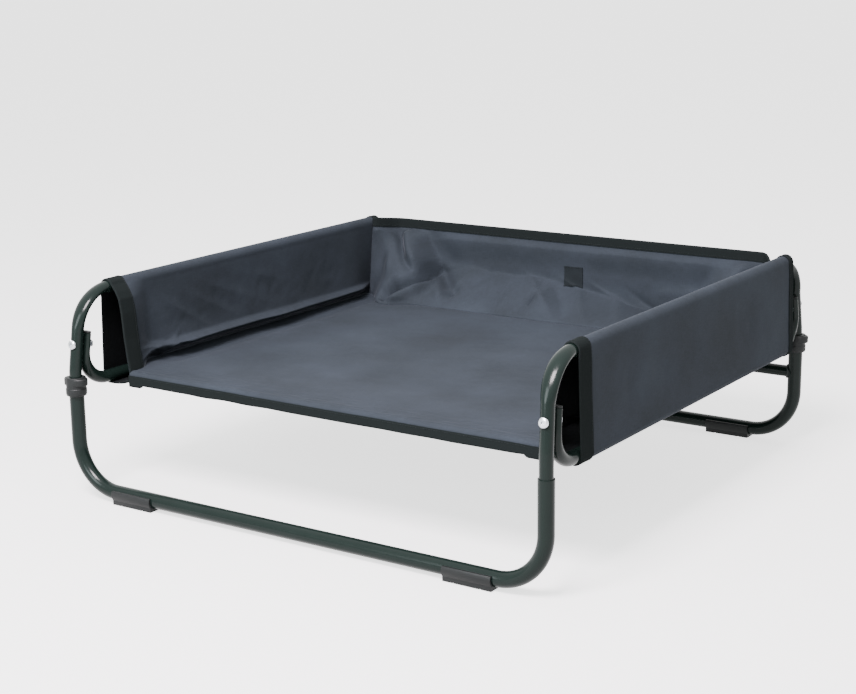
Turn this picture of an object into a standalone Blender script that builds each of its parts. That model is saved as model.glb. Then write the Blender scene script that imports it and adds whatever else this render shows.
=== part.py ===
# Raised dog bed: bent steel tube frame with a walled fabric cover.
# Metres, +Z up, origin on the floor under the middle of the bed; the front faces -Y.
import math

import bmesh
import bpy
from mathutils import Matrix, Vector

MM = 0.001

# Driving sizes of the frame
SPAN = 690 * MM
HALF = SPAN / 2
LEG_R = 9.5 * MM
TUBE_R = 8 * MM
WALL = 1.2 * MM
FIT = 0.3 * MM
FOOT_BASE = 3.2 * MM
BAR_Z = FOOT_BASE + FIT + LEG_R
TOP_RAIL_Z = 264 * MM
LOW_RAIL_Z = 146 * MM
LEG_BEND = 62 * MM
TOP_BEND = 52 * MM
JOINT_Z = 137.5 * MM
INSERT_LENGTH = 45 * MM
SCREW_Z = TOP_RAIL_Z - 65.5 * MM
RAIL_END_Z = SCREW_Z + 12.5 * MM
LOW_BEND = SCREW_Z - LOW_RAIL_Z - 14.5 * MM
# Over the joint the uprights lean back over the bed, and the sides lean in a little
KNEE_Z = JOINT_Z + 26.5 * MM
LEAN = math.radians(7)
INWARD = math.radians(2.2)
# Half sizes of the pressed sections, across the bed and in the plane of the side
TOP_PRESSED = (10.6 * MM, 5.8 * MM)
END_PRESSED = (9.7 * MM, 5 * MM)
RAIL_BEHIND = TUBE_R + FIT + END_PRESSED[1]

# Fittings
SCREW_R = 3 * MM
HEAD_R = 6 * MM
HEAD_RISE = 2.6 * MM
NUT_R = 5.8 * MM
NUT_THICK = 5 * MM
PLUG_LIP = 2.4 * MM
PLUG_DEPTH = 6 * MM
CROSS_R = 8 * MM
CROSS_Z = 103 * MM
COLLAR_LOW = JOINT_Z - 4.5 * MM
COLLAR_STEP = JOINT_Z + 8.5 * MM
COLLAR_HIGH = JOINT_Z + 19.5 * MM
COLLAR_R = 13.4 * MM
FLANGE_REACH = (17 * MM, 12.2 * MM)
FOOT_LENGTH = 64 * MM
FOOT_X = HALF - 95 * MM
FOOT_WALL = 2.6 * MM

# Cover
CLOTH = 1.2 * MM
TAPE = 0.8 * MM
TAPE_WIDTH = 25 * MM
BACK_EDGE_WIDTH = 5 * MM
SLEEVE_R = TUBE_R + FIT + CLOTH
SLEEVE_HALF = HALF - 60 * MM
FLOOR_Z = LOW_RAIL_Z + 9.5 * MM
FLOOR_SIDE = HALF - SLEEVE_R - 2 * FIT
FLOOR_FRONT = -SLEEVE_HALF - 3 * MM
FLOOR_SAG = 6 * MM
HEM_BEND = 3 * MM
HEM_TAPE = 11 * MM
HEM_Z = FLOOR_Z - HEM_BEND - HEM_TAPE - 1 * MM
FLOOR_BACK_MID = HALF - 105 * MM
FLOOR_BACK_SIDE = FLOOR_BACK_MID - 25 * MM
BACK_TOP_Z = TOP_RAIL_Z + 5 * MM
BACK_TOP_Y = HALF - 18 * MM
BACK_END_Y = SLEEVE_HALF + 2 * MM
BACK_TURN_X = HALF - 83 * MM
FOLD_BULGE = 30 * MM
FOLD_LOW = FLOOR_Z + 5 * MM
FOLD_HIGH = FLOOR_Z + 47 * MM
LABEL_X = 10 * MM
LABEL_WIDTH = 25 * MM

ROUND = 16
BEND_STEPS = 8
LOOP_STEPS = 8

SIDES = (("left", -1), ("right", 1))
ENDS = (("front", -1), ("back", 1))


def clear_scene():
    for item in list(bpy.data.objects):
        bpy.data.objects.remove(item, do_unlink=True)
    for block in (bpy.data.meshes, bpy.data.curves, bpy.data.materials, bpy.data.collections):
        for item in list(block):
            block.remove(item)


clear_scene()
PARTS = bpy.data.collections.new("dog_bed")
CUTTERS = bpy.data.collections.new("cutters")
bpy.context.scene.collection.children.link(PARTS)
bpy.context.scene.collection.children.link(CUTTERS)


def make_material(name, colour, roughness, metallic):
    material = bpy.data.materials.new(name)
    material.use_nodes = True
    shader = material.node_tree.nodes["Principled BSDF"]
    shader.inputs["Base Color"].default_value = (*colour, 1.0)
    shader.inputs["Roughness"].default_value = roughness
    shader.inputs["Metallic"].default_value = metallic
    return material


FRAME_PAINT = ("frame_paint", (0.060, 0.075, 0.072), 0.38, 0.0)
BLACK_PLASTIC = ("black_plastic", (0.028, 0.032, 0.032), 0.5, 0.0)
SCREW_STEEL = ("screw_steel", (0.72, 0.73, 0.74), 0.28, 1.0)
CLOTH_GREY = ("cloth_grey", (0.095, 0.105, 0.135), 0.8, 0.0)
TAPE_BLACK = ("tape_black", (0.022, 0.028, 0.027), 0.85, 0.0)
LABEL_BLACK = ("label_black", (0.015, 0.016, 0.018), 0.9, 0.0)


def add_object(name, mesh, collection=PARTS):
    item = bpy.data.objects.new(name, mesh)
    collection.objects.link(item)
    return item


def finish_part(item, look):
    label, colour, roughness, metallic = look
    item.data.materials.clear()
    item.data.materials.append(make_material(f"{item.name}_{label}", colour, roughness, metallic))
    return item


def as_cutter(item):
    for collection in list(item.users_collection):
        collection.objects.unlink(item)
    CUTTERS.objects.link(item)
    item.hide_render = True
    item.display_type = "WIRE"
    return item


def boolean(item, other, operation="DIFFERENCE"):
    step = item.modifiers.new(operation.lower(), "BOOLEAN")
    step.operation = operation
    step.solver = "EXACT"
    step.object = as_cutter(other)
    return item


def mesh_from_bmesh(name, shape):
    bmesh.ops.recalc_face_normals(shape, faces=shape.faces)
    mesh = bpy.data.meshes.new(name)
    shape.to_mesh(mesh)
    shape.free()
    return mesh


def cylinder(name, radius, length, axis, centre, sides=ROUND, stretch=(1, 1, 1), tilt=0.0):
    shape = bmesh.new()
    bmesh.ops.create_cone(
        shape, cap_ends=True, segments=sides, radius1=radius, radius2=radius, depth=length
    )
    turn = Vector((0, 0, 1)).rotation_difference(Vector(axis)).to_matrix().to_4x4()
    tilted = Matrix.Translation(centre) @ Matrix.Rotation(tilt, 4, "X")
    shape.transform(tilted @ Matrix.Diagonal((*stretch, 1)) @ turn)
    return add_object(name, mesh_from_bmesh(name, shape))


def box(name, size, centre):
    shape = bmesh.new()
    bmesh.ops.create_cube(shape, size=1.0)
    shape.transform(Matrix.Translation(centre) @ Matrix.Diagonal((*size, 1)))
    return add_object(name, mesh_from_bmesh(name, shape))


def turned(name, profile, centre, axis, steps=ROUND):
    # The profile is (radius, height) from the top down; both ends lie on the axis.
    shape = bmesh.new()
    points = [shape.verts.new((radius, 0, height)) for radius, height in profile]
    for start, end in zip(points, points[1:]):
        shape.edges.new((start, end))
    mesh = bpy.data.meshes.new(name)
    shape.to_mesh(mesh)
    shape.free()
    item = add_object(name, mesh)
    spin = item.modifiers.new("turn", "SCREW")
    spin.steps = steps
    spin.render_steps = steps
    spin.use_merge_vertices = True
    spin.merge_threshold = 0.00005
    turn = Vector((0, 0, 1)).rotation_difference(Vector(axis))
    item.rotation_mode = "QUATERNION"
    item.rotation_quaternion = turn
    item.location = centre
    return item


def arc(centre, start, end, steps=BEND_STEPS):
    # Quarter bend from the direction start to the direction end, seen from the bend's centre.
    points = []
    for step in range(steps + 1):
        angle = math.pi / 2 * step / steps
        points.append(Vector(centre) + Vector(start) * math.cos(angle) + Vector(end) * math.sin(angle))
    return points


def side_x(height):
    # Distance of the side's plane from the bed's middle, smoothed over the knee.
    over = height - KNEE_Z
    blend = 5 * MM
    if over <= -blend:
        return HALF
    rise = over if over >= blend else (over + blend) ** 2 / (4 * blend)
    return HALF - rise * math.tan(INWARD)


def upright_point(height, behind=0.0):
    # (Y, Z) on the leaning part of the upright's axis, or a distance behind it.
    out = HALF - (height - KNEE_Z) * math.tan(LEAN) - behind / math.cos(LEAN)
    return out, height


def side_path(quarter, side):
    # A half path of (Y, Z) from the front end to the middle, doubled and set in the side's plane.
    whole = [(-out, height) for out, height in quarter]
    whole += [(out, height) for out, height in reversed(quarter)]
    return [Vector((side * side_x(height), out, height)) for out, height in whole]


def tube_mesh(name, path, radius, scales=None):
    curve = bpy.data.curves.new(name, "CURVE")
    curve.dimensions = "3D"
    curve.bevel_depth = radius
    curve.bevel_resolution = (ROUND - 4) // 2
    curve.use_fill_caps = True
    spline = curve.splines.new("POLY")
    spline.points.add(len(path) - 1)
    for index, point in enumerate(path):
        spline.points[index].co = (*point, 1)
        spline.points[index].radius = scales[index] if scales else 1.0
    holder = add_object(name + "_curve", curve)
    bpy.context.view_layer.update()
    graph = bpy.context.evaluated_depsgraph_get()
    mesh = bpy.data.meshes.new_from_object(holder.evaluated_get(graph))
    mesh.transform(holder.matrix_world)
    bpy.data.objects.remove(holder, do_unlink=True)
    bpy.data.curves.remove(curve)
    shape = bmesh.new()
    shape.from_mesh(mesh)
    bmesh.ops.remove_doubles(shape, verts=shape.verts, dist=0.00001)
    bpy.data.meshes.remove(mesh)
    return mesh_from_bmesh(name, shape)


def smooth(value):
    value = min(1.0, max(0.0, value))
    return value * value * (3 - 2 * value)


def press_tube(mesh, radius, pressed, bend, centre, share_at):
    # Presses a side tube's round section to a wide oval, in and beside the bend of the given centre (Y, Z).
    wide, thin = (size / radius - 1 for size in pressed)
    for vertex in mesh.vertices:
        side = math.copysign(1, vertex.co.y)
        out_y = abs(vertex.co.y) - centre[0]
        out_z = vertex.co.z - centre[1]
        angle = math.atan2(out_z, out_y) - LEAN
        share = share_at(angle)
        if share <= 0:
            continue
        reach = math.hypot(out_y, out_z)
        straight = share_at is rail_end_share and angle > 0
        along = reach * math.sin(angle) if straight else 0.0
        reach = reach * math.cos(angle) if straight else reach
        reach = bend + (reach - bend) * (1 + thin * share)
        toward = LEAN if straight else angle + LEAN
        vertex.co.y = side * (centre[0] + reach * math.cos(toward) - along * math.sin(LEAN))
        vertex.co.z = centre[1] + reach * math.sin(toward) + along * math.cos(LEAN)
        middle = math.copysign(side_x(vertex.co.z), vertex.co.x)
        vertex.co.x = middle + (vertex.co.x - middle) * (1 + wide * share)
    return mesh


def top_bend_share(angle):
    turn = math.pi / 2 - LEAN
    if angle <= 0 or angle >= turn:
        return 0.0
    return math.sin(math.pi * angle / turn) ** 0.7


def rail_end_share(angle):
    if angle > math.pi / 2:
        return 0.0
    return 1 - smooth(-angle / math.radians(45))


def extended(path, reach):
    first = path[0] + (path[0] - path[1]).normalized() * reach
    last = path[-1] + (path[-1] - path[-2]).normalized() * reach
    return [first, *path[1:-1], last]


def screw_axis(end):
    return Vector((0, end * math.cos(LEAN), math.sin(LEAN)))


def screw_middle(side, end):
    out, height = upright_point(SCREW_Z)
    return Vector((side * side_x(height), end * out, height))


def screw_hole(item, side, end):
    axis = screw_axis(end)
    centre = screw_middle(side, end) - axis * 10 * MM
    boolean(item, cylinder(f"{item.name}_hole", SCREW_R + FIT, 60 * MM, axis, centre, 12))


def pressed_tube(name, path, pressed, bend, centre, share_at):
    # The tube's outside and its bore, with the wall kept even where the section is pressed.
    bore_pressed = tuple(size - WALL for size in pressed)
    outside = press_tube(tube_mesh(name, path, TUBE_R), TUBE_R, pressed, bend, centre, share_at)
    bore = tube_mesh(name + "_bore", extended(path, 5 * MM), TUBE_R - WALL)
    item = add_object(name, outside)
    bore = press_tube(bore, TUBE_R - WALL, bore_pressed, bend, centre, share_at)
    return boolean(item, add_object(name + "_bore", bore))


def bend_points(centre, radius, first, last):
    points = []
    for step in range(BEND_STEPS + 1):
        angle = first + (last - first) * step / BEND_STEPS
        points.append((centre[0] + radius * math.cos(angle), centre[1] + radius * math.sin(angle)))
    return points


def side_frame(name, side):
    centre = upright_point(TOP_RAIL_Z - TOP_BEND, TOP_BEND)
    quarter = [(HALF, JOINT_Z - INSERT_LENGTH), (HALF, KNEE_Z - 5 * MM)]
    quarter.append((HALF - 0.3 * MM, KNEE_Z))
    quarter.append(upright_point(KNEE_Z + 5 * MM))
    quarter += bend_points(centre, TOP_BEND, LEAN, math.pi / 2)
    item = pressed_tube(name, side_path(quarter, side), TOP_PRESSED, TOP_BEND, centre, top_bend_share)
    for _, end in ENDS:
        screw_hole(item, side, end)
    return finish_part(item, FRAME_PAINT)


def side_rail(name, side):
    centre = upright_point(LOW_RAIL_Z + LOW_BEND, RAIL_BEHIND + LOW_BEND)
    quarter = [upright_point(RAIL_END_Z, RAIL_BEHIND)]
    quarter += bend_points(centre, LOW_BEND, LEAN, -math.pi / 2)
    item = pressed_tube(name, side_path(quarter, side), END_PRESSED, LOW_BEND, centre, rail_end_share)
    for _, end in ENDS:
        screw_hole(item, side, end)
    return finish_part(item, FRAME_PAINT)


def leg_frame(name, end):
    y = end * HALF
    corner = HALF - LEG_BEND
    height = BAR_Z + LEG_BEND
    path = [Vector((-HALF, y, JOINT_Z))]
    path += arc((-corner, y, height), (-LEG_BEND, 0, 0), (0, 0, -LEG_BEND))
    path += arc((corner, y, height), (0, 0, -LEG_BEND), (LEG_BEND, 0, 0))
    path += [Vector((HALF, y, JOINT_Z))]
    item = add_object(name, tube_mesh(name, path, LEG_R))
    boolean(item, add_object(name + "_bore", tube_mesh(name + "_bore", extended(path, 5 * MM), LEG_R - WALL)))
    return finish_part(item, FRAME_PAINT)


def cross_bar(name):
    reach = HALF - LEG_R / 2
    path = [Vector((-reach, HALF, CROSS_Z)), Vector((0, HALF, CROSS_Z)), Vector((reach, HALF, CROSS_Z))]
    item = add_object(name, tube_mesh(name, path, CROSS_R))
    bore = tube_mesh(name + "_bore", extended(path, 12 * MM), CROSS_R - WALL)
    boolean(item, add_object(name + "_bore", bore))
    for side_name, side in SIDES:
        saddle = cylinder(
            f"{name}_saddle_{side_name}", LEG_R + FIT, 60 * MM, (0, 0, 1), (side * HALF, HALF, CROSS_Z), 32
        )
        boolean(item, saddle)
    return finish_part(item, FRAME_PAINT)


def corner_hardware(side_name, side, end_name, end):
    where = f"{end_name}_{side_name}"
    axis = screw_axis(end)
    middle = screw_middle(side, end)
    head_seat = TUBE_R + FIT
    nut_seat = -(RAIL_BEHIND + END_PRESSED[1] + FIT)
    shank_end = nut_seat - NUT_THICK - 1 * MM - head_seat
    profile = [(0, HEAD_RISE)]
    for step in range(1, 6):
        angle = math.pi / 2 * step / 5
        profile.append((HEAD_R * math.sin(angle), HEAD_RISE * (0.25 + 0.75 * math.cos(angle))))
    profile += [(HEAD_R, 0), (SCREW_R, 0), (SCREW_R, shank_end), (0, shank_end)]
    screw = turned(f"screw_{where}", profile, middle + axis * head_seat, axis, 16)
    finish_part(screw, SCREW_STEEL)

    nut_middle = middle + axis * (nut_seat - NUT_THICK / 2)
    nut = cylinder(f"nut_{where}", NUT_R, NUT_THICK, axis, nut_middle, 6)
    bore = cylinder(f"nut_{where}_bore", SCREW_R + FIT, NUT_THICK + 4 * MM, axis, nut_middle, 16)
    boolean(nut, bore)
    finish_part(nut, SCREW_STEEL)

    def plug_piece(name, sizes, low, high):
        # A short oval along the rail's end, from low to high past the tube's cut.
        height = RAIL_END_Z + (low + high) / 2 * math.cos(LEAN)
        out, _ = upright_point(height, RAIL_BEHIND)
        centre = (side * side_x(height), end * out, height)
        stretch = (sizes[0] / TUBE_R, sizes[1] / TUBE_R, 1)
        return cylinder(name, TUBE_R, high - low, (0, 0, 1), centre, 16, stretch, end * LEAN)

    plug = plug_piece(f"rail_plug_{where}", END_PRESSED, FIT, FIT + PLUG_LIP)
    rounding = plug.modifiers.new("round", "BEVEL")
    rounding.width = 0.8 * MM
    rounding.segments = 1
    skirt_sizes = [size - WALL - 1.5 * FIT for size in END_PRESSED]
    skirt = plug_piece(f"rail_plug_{where}_skirt", skirt_sizes, -PLUG_DEPTH, FIT + 1 * MM)
    boolean(plug, skirt, "UNION")
    finish_part(plug, BLACK_PLASTIC)


def collar(where, side, end):
    # A plastic clamp round the leg joint: a plain ring with a wide two-eared flange over it.
    x = side * HALF
    y = end * HALF
    height = COLLAR_HIGH - COLLAR_LOW
    item = cylinder(
        f"collar_{where}", COLLAR_R - 0.6 * MM, height, (0, 0, 1), (x, y, COLLAR_LOW + height / 2), 24
    )
    ring_height = COLLAR_STEP - COLLAR_LOW - 4 * MM
    ring_z = COLLAR_LOW + 1 * MM + ring_height / 2
    ring = cylinder(f"collar_{where}_ring", COLLAR_R, ring_height, (0, 0, 1), (x, y, ring_z), 24)
    boolean(item, ring, "UNION")
    flange_height = COLLAR_HIGH - COLLAR_STEP - 1 * MM
    flange_z = COLLAR_STEP + flange_height / 2
    stretch = (FLANGE_REACH[0] / FLANGE_REACH[1], 1, 1)
    flange = cylinder(
        f"collar_{where}_flange", FLANGE_REACH[1], flange_height, (0, 0, 1), (x, y, flange_z), 24, stretch
    )
    rounding = flange.modifiers.new("round", "BEVEL")
    rounding.width = 2 * MM
    rounding.segments = 2
    boolean(item, flange, "UNION")
    bore = cylinder(f"collar_{where}_bore", TUBE_R + FIT, height + 10 * MM, (0, 0, 1), (x, y, flange_z), 24)
    boolean(item, bore)
    leg_top = JOINT_Z + FIT
    leg_bore = cylinder(f"collar_{where}_leg", LEG_R + FIT, 20 * MM, (0, 0, 1), (x, y, leg_top - 10 * MM), 24)
    boolean(item, leg_bore)
    return finish_part(item, BLACK_PLASTIC)


def foot(where, side, end):
    # A clip round the bar's underside with a flat pad, open over the bar.
    x = side * FOOT_X
    y = end * HALF
    inner = LEG_R + FIT
    outer = inner + FOOT_WALL
    item = cylinder(f"foot_{where}", outer, FOOT_LENGTH, (1, 0, 0), (x, y, BAR_Z), 28)
    pad = box(f"foot_{where}_pad", (FOOT_LENGTH, 20 * MM, BAR_Z), (x, y, BAR_Z / 2))
    boolean(item, pad, "UNION")
    boolean(item, cylinder(f"foot_{where}_bore", inner, FOOT_LENGTH * 1.2, (1, 0, 0), (x, y, BAR_Z), 28))
    below = box(f"foot_{where}_below", (FOOT_LENGTH * 1.2, 40 * MM, 20 * MM), (x, y, -10 * MM))
    boolean(item, below)
    mouth_z = BAR_Z + 5 * MM
    mouth = box(f"foot_{where}_mouth", (FOOT_LENGTH * 1.2, 40 * MM, 20 * MM), (x, y, mouth_z + 10 * MM))
    boolean(item, mouth)
    return finish_part(item, BLACK_PLASTIC)


def mapped_sheet(name, columns, rows, place, thickness, weld=False):
    # A grid whose corner (0..1, 0..1) positions are placed by a formula, thickened both ways.
    shape = bmesh.new()
    bmesh.ops.create_grid(shape, x_segments=columns, y_segments=rows, size=0.5)
    for vertex in shape.verts:
        vertex.co = place(vertex.co.x + 0.5, vertex.co.y + 0.5)
    if weld:
        bmesh.ops.remove_doubles(shape, verts=shape.verts, dist=0.00001)
    item = add_object(name, mesh_from_bmesh(name, shape))
    thick = item.modifiers.new("thickness", "SOLIDIFY")
    thick.thickness = thickness
    thick.offset = 0
    thick.use_even_offset = True
    return item


def loop_points(lift):
    # The sleeve's closed outline in X and Z, a distance out from its outer face; the bed's inside is at +X.
    # It runs under the lower rail, up the inner panel, over the top rail and down the outer panel.
    fold_step = (FOLD_HIGH - FOLD_LOW) / 6
    heights = [FOLD_LOW + fold_step * step for step in range(7)]
    above = (TOP_RAIL_Z - FOLD_HIGH) / 4
    heights += [FOLD_HIGH + above * step for step in range(1, 4)]
    reach = SLEEVE_R + lift
    points = []
    for step in range(LOOP_STEPS + 1):
        angle = math.pi * (1 + step / LOOP_STEPS)
        points.append((reach * math.cos(angle), LOW_RAIL_Z + reach * math.sin(angle)))
    points += [(reach, height) for height in heights]
    for step in range(LOOP_STEPS + 1):
        angle = math.pi * step / LOOP_STEPS
        points.append((reach * math.cos(angle), TOP_RAIL_Z + reach * math.sin(angle)))
    for step in range(1, 5):
        points.append((-reach, TOP_RAIL_Z + (LOW_RAIL_Z - TOP_RAIL_Z) * step / 5))
    return points


def rail_plane_x(height):
    # The sleeve's middle plane: straight from the low rail to the top rail.
    share = min(1.0, max(0.0, (height - LOW_RAIL_Z) / (TOP_RAIL_Z - LOW_RAIL_Z)))
    return HALF + (side_x(TOP_RAIL_Z) - HALF) * share


def sleeve_relief(out, z, y):
    # Slack of the two flat panels: pulled in between the rails, with one long fold above the floor.
    middle = smooth(1 - abs(y) / (SLEEVE_HALF - TAPE_WIDTH - 6 * MM))
    middle = min(1.0, 4 * middle)
    height = (z - LOW_RAIL_Z) / (TOP_RAIL_Z - LOW_RAIL_Z)
    if height <= 0 or height >= 1:
        return 0.0
    relief = -2.2 * MM * math.sin(math.pi * height) ** 2 * middle
    relief += 0.5 * MM * math.sin(y / (38 * MM) + 5 * height) * math.sin(math.pi * height) ** 2 * middle
    if out > 0 and FOLD_LOW < z < FOLD_HIGH:
        fade = smooth((SLEEVE_HALF - 78 * MM - y) / (30 * MM)) * smooth((SLEEVE_HALF - 47 * MM + y) / (60 * MM))
        rise = ((z - FOLD_LOW) / (FOLD_HIGH - FOLD_LOW)) ** 0.6
        wave = math.sin(math.pi * rise) ** 2
        relief += FOLD_BULGE * wave * middle * fade
    return relief


def sleeve(side_name, side):
    outline = loop_points(-CLOTH / 2)

    def place(u, v):
        y = -SLEEVE_HALF + 2 * SLEEVE_HALF * v
        x, z = outline[round(u * len(outline)) % len(outline)]
        x += math.copysign(1, x) * sleeve_relief(x, z, y)
        return Vector((side * (rail_plane_x(z) - x), y, z))

    item = mapped_sheet(f"sleeve_{side_name}", len(outline), 12, place, CLOTH, weld=True)
    return finish_part(item, CLOTH_GREY)


def sleeve_tape(where, side, end):
    # Tape folded over the sleeve's end: a band outside it and a lip over its raw edge.
    # The band is narrow at the back, where the wall is sewn on.
    band = TAPE_WIDTH if end < 0 else BACK_EDGE_WIDTH
    outside = FIT + TAPE / 2
    lip_y = SLEEVE_HALF + FIT + TAPE / 2
    section = (
        (outside, SLEEVE_HALF - band),
        (outside, lip_y),
        (-CLOTH, lip_y),
    )

    outlines = [loop_points(lift) for lift, _ in section]
    count = len(outlines[0])

    def place(u, v):
        station = round(v * 2)
        x, z = outlines[station][round(u * count) % count]
        return Vector((side * (rail_plane_x(z) - x), end * section[station][1], z))

    item = mapped_sheet(f"sleeve_tape_{where}", count, 2, place, TAPE, weld=True)
    return finish_part(item, TAPE_BLACK)


def floor_side(y):
    # The floor narrows by the tape's thickness where it lies between the sleeves' front tapes.
    share = smooth((TAPE_WIDTH - SLEEVE_HALF + 9 * MM - y) / (6 * MM))
    return FLOOR_SIDE - (TAPE + FIT) * share


def floor_back(x):
    return FLOOR_BACK_MID + (FLOOR_BACK_SIDE - FLOOR_BACK_MID) * (abs(x) / FLOOR_SIDE) ** 3


def floor_height(x, y):
    across = 1 - (x / FLOOR_SIDE) ** 2
    along = smooth((y - FLOOR_FRONT - 20 * MM) / (150 * MM)) * smooth((FLOOR_BACK_MID - y) / (150 * MM))
    return FLOOR_Z - FLOOR_SAG * across * along


def floor_panel():
    # The front edge is rolled down to a short upright hem, which the tape binds.
    hem = [(FLOOR_FRONT, HEM_Z)]
    for step in range(4):
        angle = math.pi / 2 * step / 3
        hem.append((FLOOR_FRONT + HEM_BEND * (1 - math.cos(angle)), FLOOR_Z - HEM_BEND * (1 - math.sin(angle))))
    start = TAPE_WIDTH - SLEEVE_HALF
    stations = [start + step * 3 * MM for step in range(4)]
    rows = 10
    count = len(hem) + len(stations) + rows

    def place(u, v):
        row = round(v * count)
        across = 2 * u - 1
        if row < len(hem):
            y, z = hem[row]
            return Vector((across * floor_side(y), y, z))
        row -= len(hem)
        if row < len(stations):
            y = stations[row]
            return Vector((across * floor_side(y), y, floor_height(across * floor_side(y), y)))
        x = across * FLOOR_SIDE
        share = (row - len(stations) + 1) / (rows + 1)
        y = stations[-1] + (floor_back(x) - stations[-1]) * share
        return Vector((x, y, floor_height(x, y)))

    return finish_part(mapped_sheet("floor_panel", 12, count, place, CLOTH), CLOTH_GREY)


def hem_section(width):
    # Folded tape seen from its end: distance out past the cloth's edge, and height off its middle.
    lift = CLOTH / 2 + FIT + TAPE / 2
    fold = FIT + TAPE / 2
    return ((-width, lift), (fold, lift), (fold, -lift), (-width, -lift))


def floor_tape():
    section = hem_section(HEM_TAPE)
    side = floor_side(FLOOR_FRONT)

    def place(u, v):
        out, lift = section[round(v * 3)]
        return Vector(((2 * u - 1) * side, FLOOR_FRONT - lift, HEM_Z - out))

    return finish_part(mapped_sheet("floor_tape", 4, 3, place, TAPE), TAPE_BLACK)


def back_side(height):
    return rail_plane_x(height) - SLEEVE_R - TAPE - 2.5 * FIT


def back_top(u):
    # The top edge in plan: straight along the back, turned forward to the sleeves at its ends.
    side = back_side(TOP_RAIL_Z)
    x = side * math.sin(math.pi / 2 * u)
    turn = smooth((abs(x) - BACK_TURN_X) / (side - BACK_TURN_X)) ** 1.3
    return Vector((x, BACK_TOP_Y + (BACK_END_Y - BACK_TOP_Y) * turn, BACK_TOP_Z - 4 * MM * turn))


def back_point(u, v):
    # A cloth hung from the top edge, upright at first and then running forward to the floor.
    top = back_top(u)
    low = Vector((top.x, floor_back(top.x) + CLOTH, FLOOR_Z + 1.4 * MM))
    first = top + Vector((0, 1 * MM, -36 * MM))
    second = Vector((top.x, low.y + (top.y - low.y) * 0.93, TOP_RAIL_Z - 61 * MM))
    rest = 1 - v
    point = top * rest**3 + first * 3 * rest**2 * v + second * 3 * rest * v**2 + low * v**3
    edge = abs(u)
    slack = math.sin(math.pi * v) ** 2 * smooth((v - 0.13) / 0.15)
    pleats = smooth((edge - 0.45) / 0.2) * smooth((1 - edge) / 0.12) * slack
    point.y += 3.2 * MM * pleats * math.sin(edge * 46 + 2.5 * v)
    point.y += 2.0 * MM * slack * math.sin(9 * u + 3 * v) * (1 - edge**2)
    point.x *= back_side(point.z) / back_side(TOP_RAIL_Z)
    return point


def back_wall():
    def place(u, v):
        return back_point(2 * u - 1, v)

    return finish_part(mapped_sheet("back_wall", 32, 9, place, CLOTH), CLOTH_GREY)


def back_tape():
    section = hem_section(TAPE_WIDTH / 2)

    def place(u, v):
        share = 2 * u - 1
        top = back_top(share)
        along = back_top(min(1.0, share + 0.01)) - back_top(max(-1.0, share - 0.01))
        normal = Vector((-along.y, along.x, 0)).normalized()
        out, lift = section[round(v * 3)]
        return top + normal * lift + Vector((0, 0, out))

    return finish_part(mapped_sheet("back_tape", 32, 3, place, TAPE), TAPE_BLACK)


def back_normal(u, v):
    across = back_point(u + 0.01, v) - back_point(u - 0.01, v)
    down = back_point(u, v + 0.01) - back_point(u, v - 0.01)
    return down.cross(across).normalized()


def woven_label():
    # Found on the back wall by its height, then laid parallel to the cloth just in front of it.
    side = back_side(FLOOR_Z)
    half_u = LABEL_WIDTH / 2 / (side * math.pi / 2)
    middle_u = math.asin(LABEL_X / side) / (math.pi / 2)
    low_v, high_v = 0.47, 0.73
    lift = CLOTH / 2 + 3 * FIT + TAPE / 2

    def place(u, v):
        share = middle_u + half_u * (2 * u - 1)
        down = low_v + (high_v - low_v) * v
        normal = back_normal(share, down)
        if normal.y > 0:
            normal.negate()
        return back_point(share, down) + normal * lift

    return finish_part(mapped_sheet("woven_label", 6, 6, place, TAPE), LABEL_BLACK)


for side_label, side_sign in SIDES:
    side_frame(f"side_frame_{side_label}", side_sign)
    side_rail(f"side_rail_{side_label}", side_sign)
    sleeve(side_label, side_sign)
    for end_label, end_sign in ENDS:
        corner_hardware(side_label, side_sign, end_label, end_sign)
        foot(f"{end_label}_{side_label}", side_sign, end_sign)
        sleeve_tape(f"{end_label}_{side_label}", side_sign, end_sign)

leg_frame("leg_frame_front", -1)
leg_frame("leg_frame_back", 1)
cross_bar("rear_cross_bar")
collar("front_left", -1, -1)
collar("back_right", 1, 1)
floor_panel()
floor_tape()
back_wall()
back_tape()
woven_label()
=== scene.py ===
"""Looks of a raised dog bed: a powder-coated tube frame, plastic fittings and a walled cover."""

import logging
import math
from dataclasses import dataclass
from enum import Enum
from functools import cached_property
from typing import Callable, ClassVar, Sequence

import bmesh
import bpy
import numpy as np
from mathutils import Matrix, Vector


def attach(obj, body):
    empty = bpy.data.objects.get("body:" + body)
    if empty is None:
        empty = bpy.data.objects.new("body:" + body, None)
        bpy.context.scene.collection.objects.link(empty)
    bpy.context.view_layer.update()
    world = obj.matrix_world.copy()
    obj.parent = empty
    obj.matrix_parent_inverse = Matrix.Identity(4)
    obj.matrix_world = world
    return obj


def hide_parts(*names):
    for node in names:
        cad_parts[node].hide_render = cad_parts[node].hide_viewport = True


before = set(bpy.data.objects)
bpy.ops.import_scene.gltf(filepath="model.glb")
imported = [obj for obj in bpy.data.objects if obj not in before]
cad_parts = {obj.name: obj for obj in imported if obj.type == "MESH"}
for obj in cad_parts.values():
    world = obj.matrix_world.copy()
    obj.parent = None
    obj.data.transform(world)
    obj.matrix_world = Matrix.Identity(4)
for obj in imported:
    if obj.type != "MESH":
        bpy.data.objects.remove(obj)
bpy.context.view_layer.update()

LOG = logging.getLogger("dog_bed")
Values = np.ndarray
Spots = tuple[Values, Values, Values]
Place = Callable[[Values, Values], Spots]
Pair = tuple[float, float]
Line = tuple[Pair, ...]
Piece = bpy.types.Object
Socket = bpy.types.NodeSocket

MM = 0.001
# A wave texture of scale one repeats about every 0.314, and noise of scale one has lumps of 0.6.
WAVE_PERIOD = 0.31416
NOISE_LUMP = 0.6
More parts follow.
